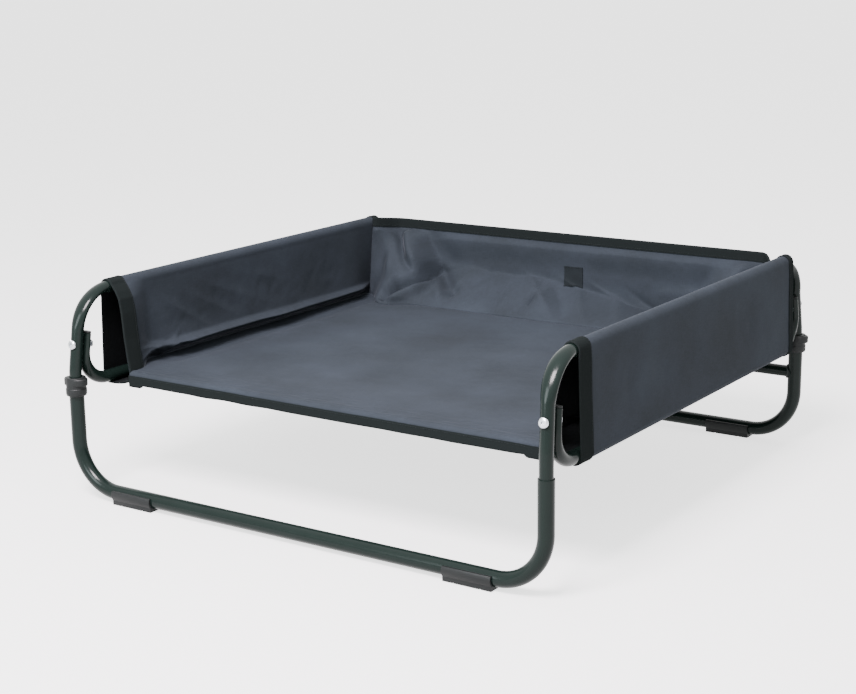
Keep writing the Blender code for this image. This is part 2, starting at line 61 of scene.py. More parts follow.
# Edges flatter than this many degrees are shaded smooth, on hard pieces and on cloth or welds.
HARD, SOFT = 35, 60
# Points nearer than this are one point.
MERGE = 0.01 * MM
# Stitches lie this far off the face that they are sewn on.
THREAD_LIFT = 0.1 * MM
TOP_FRAME = "top_frame"
AXIS_X, AXIS_Y, AXIS_Z = Vector((1, 0, 0)), Vector((0, 1, 0)), Vector((0, 0, 1))


class Side(Enum):
    """The bed's two sides, as the sign of X."""

    LEFT = -1
    RIGHT = 1


class End(Enum):
    """The bed's two ends, as the sign of Y."""

    FRONT = -1
    BACK = 1


def where(end: End, side: Side) -> str:
    """A corner's name."""
    return f"{end.name.lower()}_{side.name.lower()}"


# Shaping functions


def smooth(value: Values) -> Values:
    """A soft step from nought to one."""
    value = np.clip(value, 0, 1)
    return value * value * (3 - 2 * value)


def hump(value: Values, middle: float, width: float) -> Values:
    """A soft bell of height one."""
    return np.exp(-(((value - middle) / width) ** 2))


def crease(distance: Values, width: float) -> Values:
    """A narrow-topped fold of height one, by the distance from its line."""
    return np.exp(0.25 - np.sqrt((distance / width) ** 2 + 0.0625))


def lesser(first: Values, second: Values, blend: float) -> Values:
    """The lesser of two values, rounded over where they meet."""
    return (first + second - np.sqrt((first - second) ** 2 + 4 * blend**2)) / 2


def ripple(x: Values, y: Values | float, seed: int, size: float) -> Values:
    """Smooth unevenness from about minus one to one.

    Args:
        x: First coordinate in metres.
        y: Second coordinate in metres.
        seed: Number of the pattern.
        size: Width of its lumps in metres.

    Returns:
        One value for each point.
    """
    count = 64
    lattice = np.random.RandomState(seed).uniform(-1, 1, (count, count))
    # The shifts keep the lattice's lines off the bed's middle.
    across, along = x / size + 31.3, y / size + 27.7
    i, j = np.floor(across).astype(int), np.floor(along).astype(int)
    s, t = smooth(across - i), smooth(along - j)
    corner = [lattice[(i + a) % count, (j + b) % count] for a, b in np.ndindex(2, 2)]
    near = corner[0] * (1 - s) + corner[2] * s
    far = corner[1] * (1 - s) + corner[3] * s
    return near * (1 - t) + far * t


def stroke(out: Values, up: Values, points: Line, width: float) -> Values:
    """Weight of a fold that follows a broken line.

    Args:
        out: Distance from the middle of the wall.
        up: Height.
        points: Corners of the line, each as distance and height.
        width: Distance from the line at which the weight has fallen to a third.

    Returns:
        One on the line, falling softly to nought beside it.
    """
    best = np.zeros_like(out)
    for (x0, z0), (x1, z1) in zip(points, points[1:]):
        along_x, along_z = x1 - x0, z1 - z0
        share = ((out - x0) * along_x + (up - z0) * along_z) / (along_x**2 + along_z**2)
        share = np.clip(share, 0, 1)
        square = (out - x0 - share * along_x) ** 2 + (up - z0 - share * along_z) ** 2
        best = np.maximum(best, np.exp(-square / width**2))
    return best


def folded(lift: float, width: float) -> tuple[Values, Values]:
    """Section of a tape folded over an edge, from one selvage to the other.

    Args:
        lift: Distance of the tape's middle from the cloth's.
        width: Height of each of its two sides.

    Returns:
        Distances beside the edge, and heights over it.
    """
    turns = [math.pi * step / 8 for step in range(1, 8)]
    outs = [lift] * 7 + [lift * math.cos(turn) for turn in turns] + [-lift] * 7
    ups = [width * (1 - step / 6) for step in range(7)]
    ups += [-lift * math.sin(turn) for turn in turns] + [width * step / 6 for step in range(7)]
    return np.array(outs), np.array(ups)


def beside(x: Values, y: Values, steps: Sequence[Values], out: Values) -> tuple[Values, Values]:
    """Moves points of the plan a distance square to the steps of their line."""
    length = np.hypot(*steps)
    return x - steps[1] / length * out, y + steps[0] / length * out


@dataclass(frozen=True)
class BedSizes:
    """Real sizes of the bed in metres, the same as the solids have."""

    half: float = 345 * MM
    leg_radius: float = 9.5 * MM
    tube_radius: float = 8 * MM
    wall: float = 1.2 * MM
    fit: float = 0.3 * MM
    bar_z: float = 13 * MM
    top_rail_z: float = 264 * MM
    low_rail_z: float = 146 * MM
    leg_bend: float = 62 * MM
    top_bend: float = 52 * MM
    low_bend: float = 38 * MM
    joint_z: float = 137.5 * MM
    insert: float = 45 * MM
    screw_z: float = 198.5 * MM
    rail_end_z: float = 211 * MM
    knee_z: float = 164 * MM
    knee_bend: float = 60 * MM
    lean: float = math.radians(7)
    inward: float = math.radians(2.2)
    top_pressed: Pair = (10.6 * MM, 5.8 * MM)
    end_pressed: Pair = (9.7 * MM, 5 * MM)
    cross_radius: float = 8 * MM
    cross_z: float = 103 * MM
    foot_x: float = 250 * MM
    foot_length: float = 64 * MM
    cloth: float = 1.0 * MM
    tape: float = 0.8 * MM
    tape_width: float = 25 * MM
    sleeve_radius: float = 9.5 * MM
    sleeve_front: float = 285 * MM
    sleeve_back: float = 308 * MM
    floor_z: float = 155.5 * MM
    floor_front: float = -288 * MM
    floor_back: float = 240 * MM
    hem_bend: float = 6 * MM
    hem_tape: float = 11 * MM
    back_top_z: float = 269 * MM
    back_top_y: float = 327 * MM
    back_end_y: float = 290 * MM
    back_turn_x: float = 296 * MM
    mouth_from: float = -266 * MM
    mouth_over: float = 48 * MM

    @property
    def behind(self) -> float:
        """Distance of a side rail's upturned end behind the upright's axis."""
        return self.tube_radius + self.fit + self.end_pressed[1]

    @property
    def hem_z(self) -> float:
        """Height of the raw edge inside the floor's front hem."""
        return self.floor_z - self.hem_bend - self.hem_tape + 2 * MM

    @property
    def over_cloth(self) -> float:
        """Distance from the middle of a cloth to the middle of a tape on it."""
        return self.cloth / 2 + self.fit + self.tape / 2

    def side_x(self, height: float) -> float:
        """Distance of a side's plane from the middle, at a height."""
        over = height - self.knee_z
        blend = 5 * MM
        if over <= -blend:
            return self.half
        rise = over if over >= blend else (over + blend) ** 2 / (4 * blend)
        return self.half - rise * math.tan(self.inward)

    def upright(self, height: float, behind: float = 0.0) -> tuple[float, float]:
        """(Y, Z) on the leaning part of an upright's axis, or a distance behind it."""
        out = self.half - (height - self.knee_z) * math.tan(self.lean)
        return out - behind / math.cos(self.lean), height

    def sleeve_plane(self, height: Values | float) -> Values:
        """X of a sleeve's middle plane, straight from the low rail to the top rail."""
        share = np.clip((height - self.low_rail_z) / (self.top_rail_z - self.low_rail_z), 0, 1)
        return self.half + (self.side_x(self.top_rail_z) - self.half) * share

    def mouth_share(self, y: Values | float) -> Values:
        """How far the inner panels have leaned in towards the open front, from nought to one."""
        return 1 - smooth((y - self.mouth_from) / self.mouth_over)

    def floor_edge(self, x: Values) -> Values:
        """Y of the seam between floor and back wall, drawn forward by the corners' gathers."""
        out = np.abs(x)
        drawn = -21 * MM * hump(out, 266 * MM, 24 * MM)
        return self.floor_back + drawn + 41 * MM * smooth((out - 286 * MM) / (46 * MM))

    def hem_sway(self, x: Values) -> Values:
        """How far the front hem wanders from its line."""
        return 0.5 * MM * ripple(x, 0.0, 21, 45 * MM)


BED = BedSizes()


# Finishes


def linear(code: str) -> tuple[float, float, float, float]:
    """Turns an sRGB hex colour into linear RGBA.

    Args:
        code: Six hex digits with a leading hash.

    Returns:
        Linear red, green, blue and an alpha of one.
    """
    values = [int(code[i : i + 2], 16) / 255 for i in (1, 3, 5)]
    turned = [v / 12.92 if v <= 0.04045 else ((v + 0.055) / 1.055) ** 2.4 for v in values]
    return (*turned, 1.0)


def add_node(
    tree: bpy.types.NodeTree,
    kind: str,
    values: dict | None = None,
    links: dict | None = None,
    **settings: object,
) -> bpy.types.Node:
    """Adds one shader node.

    Args:
        tree: The material's node tree.
        kind: The node's type name.
        values: Socket name or number to a constant.
        links: Socket name or number to the output that feeds it.
        settings: Properties of the node itself.

    Returns:
        The new node.
    """
    node = tree.nodes.new(kind)
    for name, value in settings.items():
        setattr(node, name, value)
    for name, value in (values or {}).items():
        node.inputs[name].default_value = value
    for name, source in (links or {}).items():
        tree.links.new(source, node.inputs[name])
    return node


@dataclass
class Board:
    """The nodes of one material. Each method adds a node and returns its output."""

    tree: bpy.types.NodeTree
    on_cloth: bool

    @cached_property
    def place(self) -> Socket:
        """The cloth's own map in metres, or the object's coordinates."""
        if self.on_cloth:
            return add_node(self.tree, "ShaderNodeUVMap", uv_map="cloth").outputs["UV"]
        return add_node(self.tree, "ShaderNodeTexCoord").outputs["Object"]

    def noise(
        self,
        scale: float,
        detail: float,
        roughness: float = 0.5,
        distortion: float = 0.0,
        stretch: tuple[float, float, float] | None = None,
    ) -> Socket:
        """Adds noise.

        Args:
            scale: Lumps to a length of about 0.6.
            detail: Finer layers.
            roughness: Strength of the finer layers.
            distortion: How far the lumps are drawn about.
            stretch: Scales of the coordinates, where they differ.

        Returns:
            The noise, from nought to one.
        """
        place = self.place
        if stretch:
            node = add_node(self.tree, "ShaderNodeMapping", {"Scale": stretch}, {"Vector": place})
            place = node.outputs["Vector"]
        values = {"Scale": scale, "Detail": detail, "Roughness": roughness}
        values["Distortion"] = distortion
        return add_node(self.tree, "ShaderNodeTexNoise", values, {"Vector": place}).outputs["Fac"]

    def bands(self, pitch: float, way: str, distortion: float, detail_scale: float = 1.0) -> Socket:
        """Adds soft bands.

        Args:
            pitch: Distance from band to band.
            way: The axis that they lie across, X or Y.
            distortion: How far they waver.
            detail_scale: Scale of the wavering.

        Returns:
            The bands, from nought to one.
        """
        values = {"Scale": WAVE_PERIOD / pitch, "Distortion": distortion}
        values |= {"Detail": 1.0, "Detail Scale": detail_scale}
        links = {"Vector": self.place}
        kind = "ShaderNodeTexWave"
        node = add_node(self.tree, kind, values, links, wave_type="BANDS", bands_direction=way)
        return node.outputs["Fac"]

    def sum(self, operation: str, *terms: Socket | float) -> Socket:
        """A sum or product of outputs and constants."""
        values = {i: term for i, term in enumerate(terms) if isinstance(term, float)}
        links = {i: term for i, term in enumerate(terms) if i not in values}
        return add_node(self.tree, "ShaderNodeMath", values, links, operation=operation).outputs[0]

    def spread(self, share: Socket, to: Pair, of: Pair = (0, 1)) -> Socket:
        """Turns one range of values into another."""
        values = dict(zip(("From Min", "From Max", "To Min", "To Max"), (*of, *to)))
        return add_node(self.tree, "ShaderNodeMapRange", values, {"Value": share}).outputs["Result"]

    def mix(self, share: Socket, first: str, second: str) -> Socket:
        """A mixture of two colours."""
        values = {6: linear(first), 7: linear(second)}
        node = add_node(self.tree, "ShaderNodeMix", values, {0: share}, data_type="RGBA")
        return node.outputs[2]

    def bump(
        self, height: Socket, strength: float, distance: float, over: Socket | None = None
    ) -> Socket:
        """A normal from heights, on top of another normal if there is one."""
        links = {"Height": height} if over is None else {"Height": height, "Normal": over}
        values = {"Strength": strength, "Distance": distance}
        return add_node(self.tree, "ShaderNodeBump", values, links).outputs["Normal"]


@dataclass(frozen=True)
class Finish:
    """A surface finish, made into one material that its pieces share."""

    name: str
    slot: str = ""
    on_cloth: ClassVar[bool] = False

    def material(self) -> bpy.types.Material:
        """Returns the finish's material, made on its first use."""
        found = bpy.data.materials.get(self.name)
        if found:
            return found
        made = bpy.data.materials.new(self.name)
        made.use_nodes = True
        tree = made.node_tree
        shader = tree.nodes["Principled BSDF"]
        for name, value in self.inputs(Board(tree, self.on_cloth)).items():
            if isinstance(value, Socket):
                tree.links.new(value, shader.inputs[name])
            else:
                shader.inputs[name].default_value = value
        return made

    def inputs(self, board: Board) -> dict[str, object]:
        """Adds the finish's nodes.

        Args:
            board: The material's nodes.

        Returns:
            The shader's sockets, each with a constant or with the output that feeds it.
        """
        raise NotImplementedError


@dataclass(frozen=True)
class CoatedWeave(Finish):
    """Plain-woven polyester with a thin coating: matt, bluish, with a dry sheen at its edges."""

    warp: str = "#14171a"
    weft: str = "#1c2025"
    # Real threads stand 0.5 mm apart. They are drawn at 1.3 mm, so that the weave shows at all.
    thread: float = 1.3 * MM
    on_cloth: ClassVar[bool] = True

    def inputs(self, board: Board) -> dict[str, object]:
        """The weave, the heathered colour and the soft crumple."""
        weave = board.sum("MULTIPLY", *(board.bands(self.thread, way, 0.6, 0.4) for way in "XY"))
        stretches = (900, 90, 1), (90, 900, 1)
        slubs = board.sum("ADD", *(board.noise(1.0, 2.0, 0.6, stretch=s) for s in stretches))
        tone = board.sum("MULTIPLY_ADD", slubs, 0.5, board.noise(9.0, 3.0))
        crumple = board.bump(board.noise(55.0, 4.0, 0.55, 0.4), 0.5, 0.5 * MM)
        return {
            "Base Color": board.mix(board.spread(tone, (0, 1), (0.7, 1.3)), self.warp, self.weft),
            "Roughness": board.spread(weave, (0.9, 0.78)),
            "Specular IOR Level": 0.04,
            "Sheen Weight": 0.05,
            "Sheen Roughness": 0.25,
            "Sheen Tint": linear("#c9cfe0"),
            "Normal": board.bump(weave, 0.35, 0.12 * MM, crumple),
        }


@dataclass(frozen=True)
class WovenTape(Finish):
    """Woven polyester binding: near black, with cross ribs and a matt, slightly furry face."""

    low: str = "#080a0a"
    high: str = "#0e1111"
    # Ribs of such tape stand 0.8 mm apart and are drawn at 1.2 mm.
    rib: float = 1.2 * MM
    on_cloth: ClassVar[bool] = True

    def inputs(self, board: Board) -> dict[str, object]:
        """The ribs and their colour."""
        ribs = board.bands(self.rib, "X", 0.8)
        tone = board.sum("MULTIPLY_ADD", ribs, 0.5, board.noise(900.0, 3.0))
        return {
            "Base Color": board.mix(tone, self.low, self.high),
            "Roughness": 0.9,
            "Specular IOR Level": 0.01,
            "Normal": board.bump(tone, 0.6, 0.2 * MM),
        }


@dataclass(frozen=True)
class PowderCoat(Finish):
    """Powder coat on steel tube: dark grey-green, half gloss, with a faint orange peel."""

    colour: str = "#060c0a"
    paler: str = "#09100e"
    # The peel's dimples are about 1.5 mm across.
    peel: float = 1.5 * MM

    def inputs(self, board: Board) -> dict[str, object]:
        """The peel and the small change of gloss."""
        cloud = board.noise(30.0, 3.0)
        return {
            "Base Color": board.mix(cloud, self.colour, self.paler),
            "Specular IOR Level": 0.09,
            "Roughness": board.spread(cloud, (0.16, 0.24)),
            "Normal": board.bump(board.noise(NOISE_LUMP / self.peel, 2.0), 0.18, 0.15 * MM),
        }


@dataclass(frozen=True)
class MouldedPlastic(Finish):
    """Injection-moulded polypropylene with a spark-eroded grain: black, matt."""

    colour: str = "#070909"
    grain: float = 0.6 * MM

    def inputs(self, board: Board) -> dict[str, object]:
        """The grain."""
        grain = board.noise(NOISE_LUMP / self.grain, 2.0)
        return {
            "Base Color": linear(self.colour),
            "Specular IOR Level": 0.14,
            "Roughness": board.spread(grain, (0.42, 0.58)),
            "Normal": board.bump(grain, 0.3, 0.08 * MM),
        }


@dataclass(frozen=True)
class ZincPlate(Finish):
    """Bright zinc plate on steel: pale, metallic, softly brushed by tumbling."""

    colour: str = "#b4b8bc"

    def inputs(self, board: Board) -> dict[str, object]:
        """The plate's uneven gloss."""
        gloss = board.spread(board.noise(400.0, 3.0), (0.2, 0.38))
        return {"Base Color": linear(self.colour), "Metallic": 1.0, "Roughness": gloss}


@dataclass(frozen=True)
class SpunThread(Finish):
    """Polyester sewing thread: dark, matt, a little uneven along its length."""

    colour: str = "#0a0c0c"
    paler: str = "#141718"

    def inputs(self, board: Board) -> dict[str, object]:
        """The thread's colour."""
        colour = board.mix(board.noise(1500.0, 1.0), self.colour, self.paler)
        return {"Base Color": colour, "Roughness": 0.8, "Specular IOR Level": 0.05}


@dataclass(frozen=True)
class PaleBackdrop(Finish):
    """Plain studio floor: pale, matt, with a glow of its own."""

    def inputs(self, board: Board) -> dict[str, object]:
        """A plain grey under a white glow."""
        return {
            "Base Color": (0.26, 0.26, 0.26, 1),
            "Emission Color": (1, 1, 1, 1),
            "Emission Strength": 1.9,
            "Roughness": 0.9,
            "Specular IOR Level": 0.1,
        }


COVER_CLOTH = CoatedWeave("coated_polyester_weave", "cloth")
# Near black: painted shade for the dark inside of the sleeves' loops.
CLOTH_INSIDE_SHADE = CoatedWeave("painted_shade_cloth_inside", "cloth", "#030404", "#060708")
BINDING = WovenTape("woven_binding_tape", "tape")
LABEL_WEAVE = WovenTape("woven_label_satin", "label", "#0b0d0e", "#131618", 0.7 * MM)
FRAME_COAT = PowderCoat("powder_coat_on_steel", "frame_paint")
FITTING_PLASTIC = MouldedPlastic("moulded_polypropylene", "black_plastic")
SCREW_ZINC = ZincPlate("bright_zinc_plate", "zinc_steel")
SEAM_THREAD = SpunThread("spun_polyester_thread", "tape")


# Modelling helpers


def start_clean() -> None:
    """Leaves edit mode and deselects everything."""
    if bpy.context.object and bpy.context.object.mode != "OBJECT":
        bpy.ops.object.mode_set(mode="OBJECT")
    bpy.ops.object.select_all(action="DESELECT")


def take(piece: Piece) -> Piece:
    """Selects one object alone and makes it active."""
    start_clean()
    piece.select_set(True)
    bpy.context.view_layer.objects.active = piece
    return piece


def settle(piece: Piece) -> Piece:
    """Moves an object's place into its mesh."""
    take(piece)
    bpy.ops.object.transform_apply(location=True, rotation=True, scale=True)
    return piece


def aim(piece: Piece, heading: Vector) -> Piece:
    """Turns an object's Z axis to a heading and settles it."""
    piece.rotation_mode = "QUATERNION"
    piece.rotation_quaternion = AXIS_Z.rotation_difference(heading)
    return settle(piece)


def face_out(piece: Piece, merge: bool = False) -> None:
    """Turns a mesh's faces outwards, after joining the points that meet if asked."""
    take(piece)
    bpy.ops.object.mode_set(mode="EDIT")
    bpy.ops.mesh.select_all(action="SELECT")
    if merge:
        bpy.ops.mesh.remove_doubles(threshold=MERGE)
    bpy.ops.mesh.normals_make_consistent(inside=False)
    bpy.ops.object.mode_set(mode="OBJECT")


def apply_modifier(piece: Piece, kind: str, **settings: object) -> Piece:
    """Adds one modifier and applies it.

    Args:
        piece: The object to change.
        kind: The modifier's type.
        settings: Its properties.

    Returns:
        The same object.
    """
    take(piece)
    step = piece.modifiers.new(kind.lower(), kind)
    for name, value in settings.items():
        setattr(step, name, value)
    bpy.ops.object.modifier_apply(modifier=step.name)
    return piece


def give_wall(piece: Piece) -> Piece:
    """Thickens an open tube inwards."""
    return apply_modifier(piece, "SOLIDIFY", thickness=BED.wall, offset=-1, use_rim=True)


def round_edges(piece: Piece, width: float, segments: int, angle: float = 0.8) -> Piece:
    """Bevels the edges that are sharper than an angle in radians."""
    settings = {"width": width, "segments": segments, "angle_limit": angle}
    return apply_modifier(piece, "BEVEL", limit_method="ANGLE", **settings)


def cut(piece: Piece, other: Piece, operation: str = "DIFFERENCE") -> Piece:
    """Cuts, joins or keeps one solid with another, which is used up."""
    settle(piece)
    settle(other)
    apply_modifier(piece, "BOOLEAN", operation=operation, solver="EXACT", object=other)
    bpy.data.objects.remove(other, do_unlink=True)
    return piece


def finish_piece(
    piece: Piece,
    name: str,
    finish: Finish,
    node: str = "",
    body: str = TOP_FRAME,
    angle: float = HARD,
) -> Piece:
    """Names, dresses and places a finished piece.

    Args:
        piece: The object.
        name: Its name.
        finish: Its finish, which knows the record's material slot.
        node: The solid that it stands for, if any.
        body: The body that it rides on.
        angle: Edges flatter than this many degrees are shaded smooth.

    Returns:
        The same object.
    """
    settle(piece)
    piece.name = name
    piece.data.name = name
    piece.data.materials.clear()
    piece.data.materials.append(finish.material())
    bpy.ops.object.shade_smooth_by_angle(angle=math.radians(angle))
    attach(piece, body)
    if node:
        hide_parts(node)
    LOG.info("%s: %d faces", name, len(piece.data.polygons))
    return piece


def add_cylinder(radius: float, low: Vector, high: Vector, sides: int = 64) -> Piece:
    """Adds a closed cylinder.

    Args:
        radius: Its radius.
        low: The middle of its first end.
        high: The middle of its other end.
        sides: Faces round it.

    Returns:
        The cylinder.
    """
    start_clean()
    along, middle = high - low, (low + high) / 2
    bpy.ops.mesh.primitive_cylinder_add(
        vertices=sides, radius=radius, depth=along.length, location=middle
    )
    return aim(bpy.context.object, along)


def add_oval(
    reach: Pair, height: float, middle: Vector, sides: int, tilt: float = 0.0
) -> Piece:
    """Adds an oval block, upright or tilted.

    Args:
        reach: Half sizes across and along the bed.
        height: Its height.
        middle: Its middle.
        sides: Faces round it.
        tilt: Angle of turning about X in radians.

    Returns:
        The block.
    """
    start_clean()
    bpy.ops.mesh.primitive_cylinder_add(vertices=sides, radius=1, depth=1, location=(0, 0, 0))
    piece = bpy.context.object
    piece.scale = (*reach, height)
    settle(piece)
    piece.rotation_euler = (tilt, 0, 0)
    piece.location = middle
    return settle(piece)


def add_box(x: float, y: float, half: Pair, low: float, high: float) -> Piece:
    """Adds a box about a point of the plan.

    Args:
        x: The point's X.
        y: The point's Y.
        half: Half sizes across and along the bed.
        low: Height of the bottom.
        high: Height of the top.

    Returns:
        The box.
    """
    start_clean()
    bpy.ops.mesh.primitive_cube_add(size=1, location=(x, y, (low + high) / 2))
    piece = bpy.context.object
    piece.scale = (2 * half[0], 2 * half[1], high - low)
    return settle(piece)


class TubeBench:
    """Draws a tube from an open ring by extruding and spinning it, as a bending bench does."""

    SIDES: ClassVar[int] = 40

    def __init__(self, radius: float, start: Vector, heading: Vector) -> None:
        """Lays the first ring.

        Args:
            radius: The tube's outer radius.
            start: The ring's middle.
            heading: The direction the tube leaves it in.
        """
        start_clean()
        bpy.ops.mesh.primitive_circle_add(
            vertices=self.SIDES, radius=radius, fill_type="NOTHING", location=start
        )
        self.piece = aim(bpy.context.object, heading)
        self.middle = start.copy()
        bpy.ops.object.mode_set(mode="EDIT")
        bpy.ops.mesh.select_all(action="SELECT")

    def run(self, end: Vector, steps: int = 1) -> None:
        """Extrudes straight to a point, in equal steps."""
        step = (end - self.middle) / steps
        for _ in range(steps):
            bpy.ops.mesh.extrude_region_move(TRANSFORM_OT_translate={"value": step})
        self.middle = end.copy()

    def bend(self, centre: Vector, axis: Vector, angle: float, steps: int = 24) -> None:
        """Spins round a bend's centre.

        Args:
            centre: The bend's centre.
            axis: The axis of turning, by the right hand.
            angle: The angle of turning in radians.
            steps: Rings in the bend.
        """
        bpy.ops.mesh.spin(steps=steps, angle=-angle, center=centre, axis=axis)
        self.middle = centre + Matrix.Rotation(angle, 3, axis) @ (self.middle - centre)

    def done(self) -> Piece:
        """Closes edit mode and returns the open shell with its faces outwards."""
        face_out(self.piece, True)
        return self.piece


def points_of(piece: Piece) -> Values:
    """Returns a mesh's points as rows."""
    points = np.zeros(len(piece.data.vertices) * 3)
    piece.data.vertices.foreach_get("co", points)
    return points.reshape(-1, 3)


def move_points(piece: Piece, points: Values) -> None:
    """Puts back a mesh's points."""
    piece.data.vertices.foreach_set("co", points.ravel())
    piece.data.update()


def make_sheet(
    columns: int, rows: int, place: Place, thickness: float, closed: bool = False
) -> tuple[Piece, tuple[float, float]]:
    """Makes a sheet of cloth from a grid, with a map in metres that follows its own lengths.

    Args:
        columns: Faces across.
        rows: Faces along.
        place: Turns shares across and along into X, Y and Z.
        thickness: The cloth's thickness, half to each side.
        closed: True where the two long edges meet.

    Returns:
        The sheet, and the width and length that it has when laid flat.
    """
    start_clean()
    bpy.ops.mesh.primitive_grid_add(x_subdivisions=columns, y_subdivisions=rows, size=1)
    piece = bpy.context.object
    share = points_of(piece) + 0.5
    column = np.rint(share[:, 0] * columns).astype(int)
    row = np.rint(share[:, 1] * rows).astype(int)
    points = np.stack(place(share[:, 0], share[:, 1]), axis=1)
    lattice = np.zeros((rows + 1, columns + 1, 3))
    lattice[row, column] = points
    across = np.linalg.norm(np.diff(lattice, axis=1), axis=2).mean(axis=0)
    along = np.linalg.norm(np.diff(lattice, axis=0), axis=2).mean(axis=1)
    walked = [np.concatenate([[0], np.cumsum(lengths)]) for lengths in (across, along)]
    chart = np.stack([walked[0][column], walked[1][row]], axis=1)
    mesh = piece.data
    for layer in list(mesh.uv_layers):
        mesh.uv_layers.remove(layer)
    layer = mesh.uv_layers.new(name="cloth")
    corners = np.zeros(len(mesh.loops), np.int32)
    mesh.loops.foreach_get("vertex_index", corners)
    layer.data.foreach_set("uv", chart[corners].ravel())
    move_points(piece, points)
    face_out(piece, closed)
    apply_modifier(piece, "SOLIDIFY", thickness=thickness, offset=0, use_rim=True)
    return piece, (float(across.sum()), float(along.sum()))


def sew(
    name: str, x: Values, y: Values | float, z: Values | float, pitch: float = 3.6 * MM
) -> None:
    """Lays a row of stitches along a line.

    Args:
        name: The row's name.
        x: X of the line's points, on the cloth's face.
        y: Their Y, or one value for all.
        z: Their Z, or one value for all.
        pitch: Distance from stitch to stitch.
    """
    start_clean()
    path = [Vector(spot) for spot in zip(*np.broadcast_arrays(x, y, z))]
    curve = bpy.data.curves.new(f"{name}_line", "CURVE")
    curve.dimensions = "3D"
    spline = curve.splines.new("POLY")
    spline.points.add(len(path) - 1)
    for point, spot in zip(spline.points, path):
        point.co = (*spot, 1)
    line = bpy.data.objects.new(f"{name}_line", curve)
    bpy.context.scene.collection.objects.link(line)
    length = sum((b - a).length for a, b in zip(path, path[1:]))
    # A stitch is a short six-sided rod, 0.64 mm thick, with drawn-in tips.
    bpy.ops.mesh.primitive_cylinder_add(vertices=6, radius=0.32 * MM, depth=pitch * 0.42)
    piece = bpy.context.object
    bpy.ops.object.mode_set(mode="EDIT")
    bpy.ops.mesh.select_all(action="DESELECT")
    bpy.ops.mesh.select_face_by_sides(number=6)
    bpy.ops.mesh.extrude_region_shrink_fatten(TRANSFORM_OT_shrink_fatten={"value": pitch * 0.16})
    bpy.ops.object.mode_set(mode="OBJECT")
    points = points_of(piece)
    is_tip = np.abs(points[:, 2]) > pitch * 0.25
    points[is_tip, :2] *= 0.45
    # It is laid along X, which the curve modifier follows.
    move_points(piece, points[:, [2, 1, 0]] + np.array([pitch / 2, 0, 0]))
    apply_modifier(
        piece,
        "ARRAY",
        count=max(2, int(length / pitch)),
        use_relative_offset=False,
        use_constant_offset=True,
        constant_offset_displace=(pitch, 0, 0),
    )
    apply_modifier(piece, "CURVE", object=line, deform_axis="POS_X")
    bpy.data.objects.remove(line, do_unlink=True)
    face_out(piece)
    finish_piece(piece, name, SEAM_THREAD, angle=SOFT)


# The frame


@dataclass
class LegFrame:
    """A leg tube bent into a U, with its two clipped feet."""

    end: End
    clip_wall: float = 2.6 * MM
    pad_half: float = 10 * MM
    clip_over_bar: float = 5 * MM
    groove_half: float = 1 * MM
    groove_depth: float = 0.7 * MM

    @property
    def body(self) -> str:
        """The body that the leg frame rides on."""
        return f"{self.end.name.lower()}_legs"

    def tube(self) -> None:
        """Bends the leg tube."""
        y = self.end.value * BED.half
        corner, height = BED.half - BED.leg_bend, BED.bar_z + BED.leg_bend
        down = Vector((0, 0, -1))
        bench = TubeBench(BED.leg_radius, Vector((-BED.half, y, BED.joint_z)), down)
        bench.run(Vector((-BED.half, y, height)))
        bench.bend(Vector((-corner, y, height)), AXIS_Y, -math.pi / 2)
        bench.run(Vector((corner, y, BED.bar_z)))
        bench.bend(Vector((corner, y, height)), AXIS_Y, -math.pi / 2)
        bench.run(Vector((BED.half, y, BED.joint_z)))
        name = f"leg_frame_{self.end.name.lower()}"
        finish_piece(give_wall(bench.done()), f"{name}_tube", FRAME_COAT, name, self.body)

    def foot(self, side: Side) -> None:
        """Makes one plastic clip with a flat pad under the bar."""
        x, y = side.value * BED.foot_x, self.end.value * BED.half
        reach = BED.foot_length / 2
        inner = BED.leg_radius + BED.fit
        middle, along = Vector((x, y, BED.bar_z)), Vector((reach, 0, 0))
        piece = add_cylinder(inner + self.clip_wall, middle - along, middle + along)
        cut(piece, add_box(x, y, (reach, self.pad_half), 0, BED.bar_z), "UNION")
        cut(piece, add_box(x, y, (1, 1), -1, 0))
        cut(piece, add_box(x, y, (1, 1), BED.bar_z + self.clip_over_bar, 1))
        round_edges(piece, 0.9 * MM, 3, 0.6)
        cut(piece, add_cylinder(inner, middle - along * 1.2, middle + along * 1.2))
        for share in (-0.55, 0.55):
            half = (self.groove_half, 2 * self.pad_half)
            low = BED.bar_z - 30 * MM
            cut(piece, add_box(x + share * reach, y, half, low, self.groove_depth))
        corner = where(self.end, side)
        name = f"clip_foot_{corner}"
        finish_piece(piece, name, FITTING_PLASTIC, f"foot_{corner}", self.body)

    def build(self) -> None:
        """Makes the tube and both feet."""
        self.tube()
        for side in Side:
            self.foot(side)


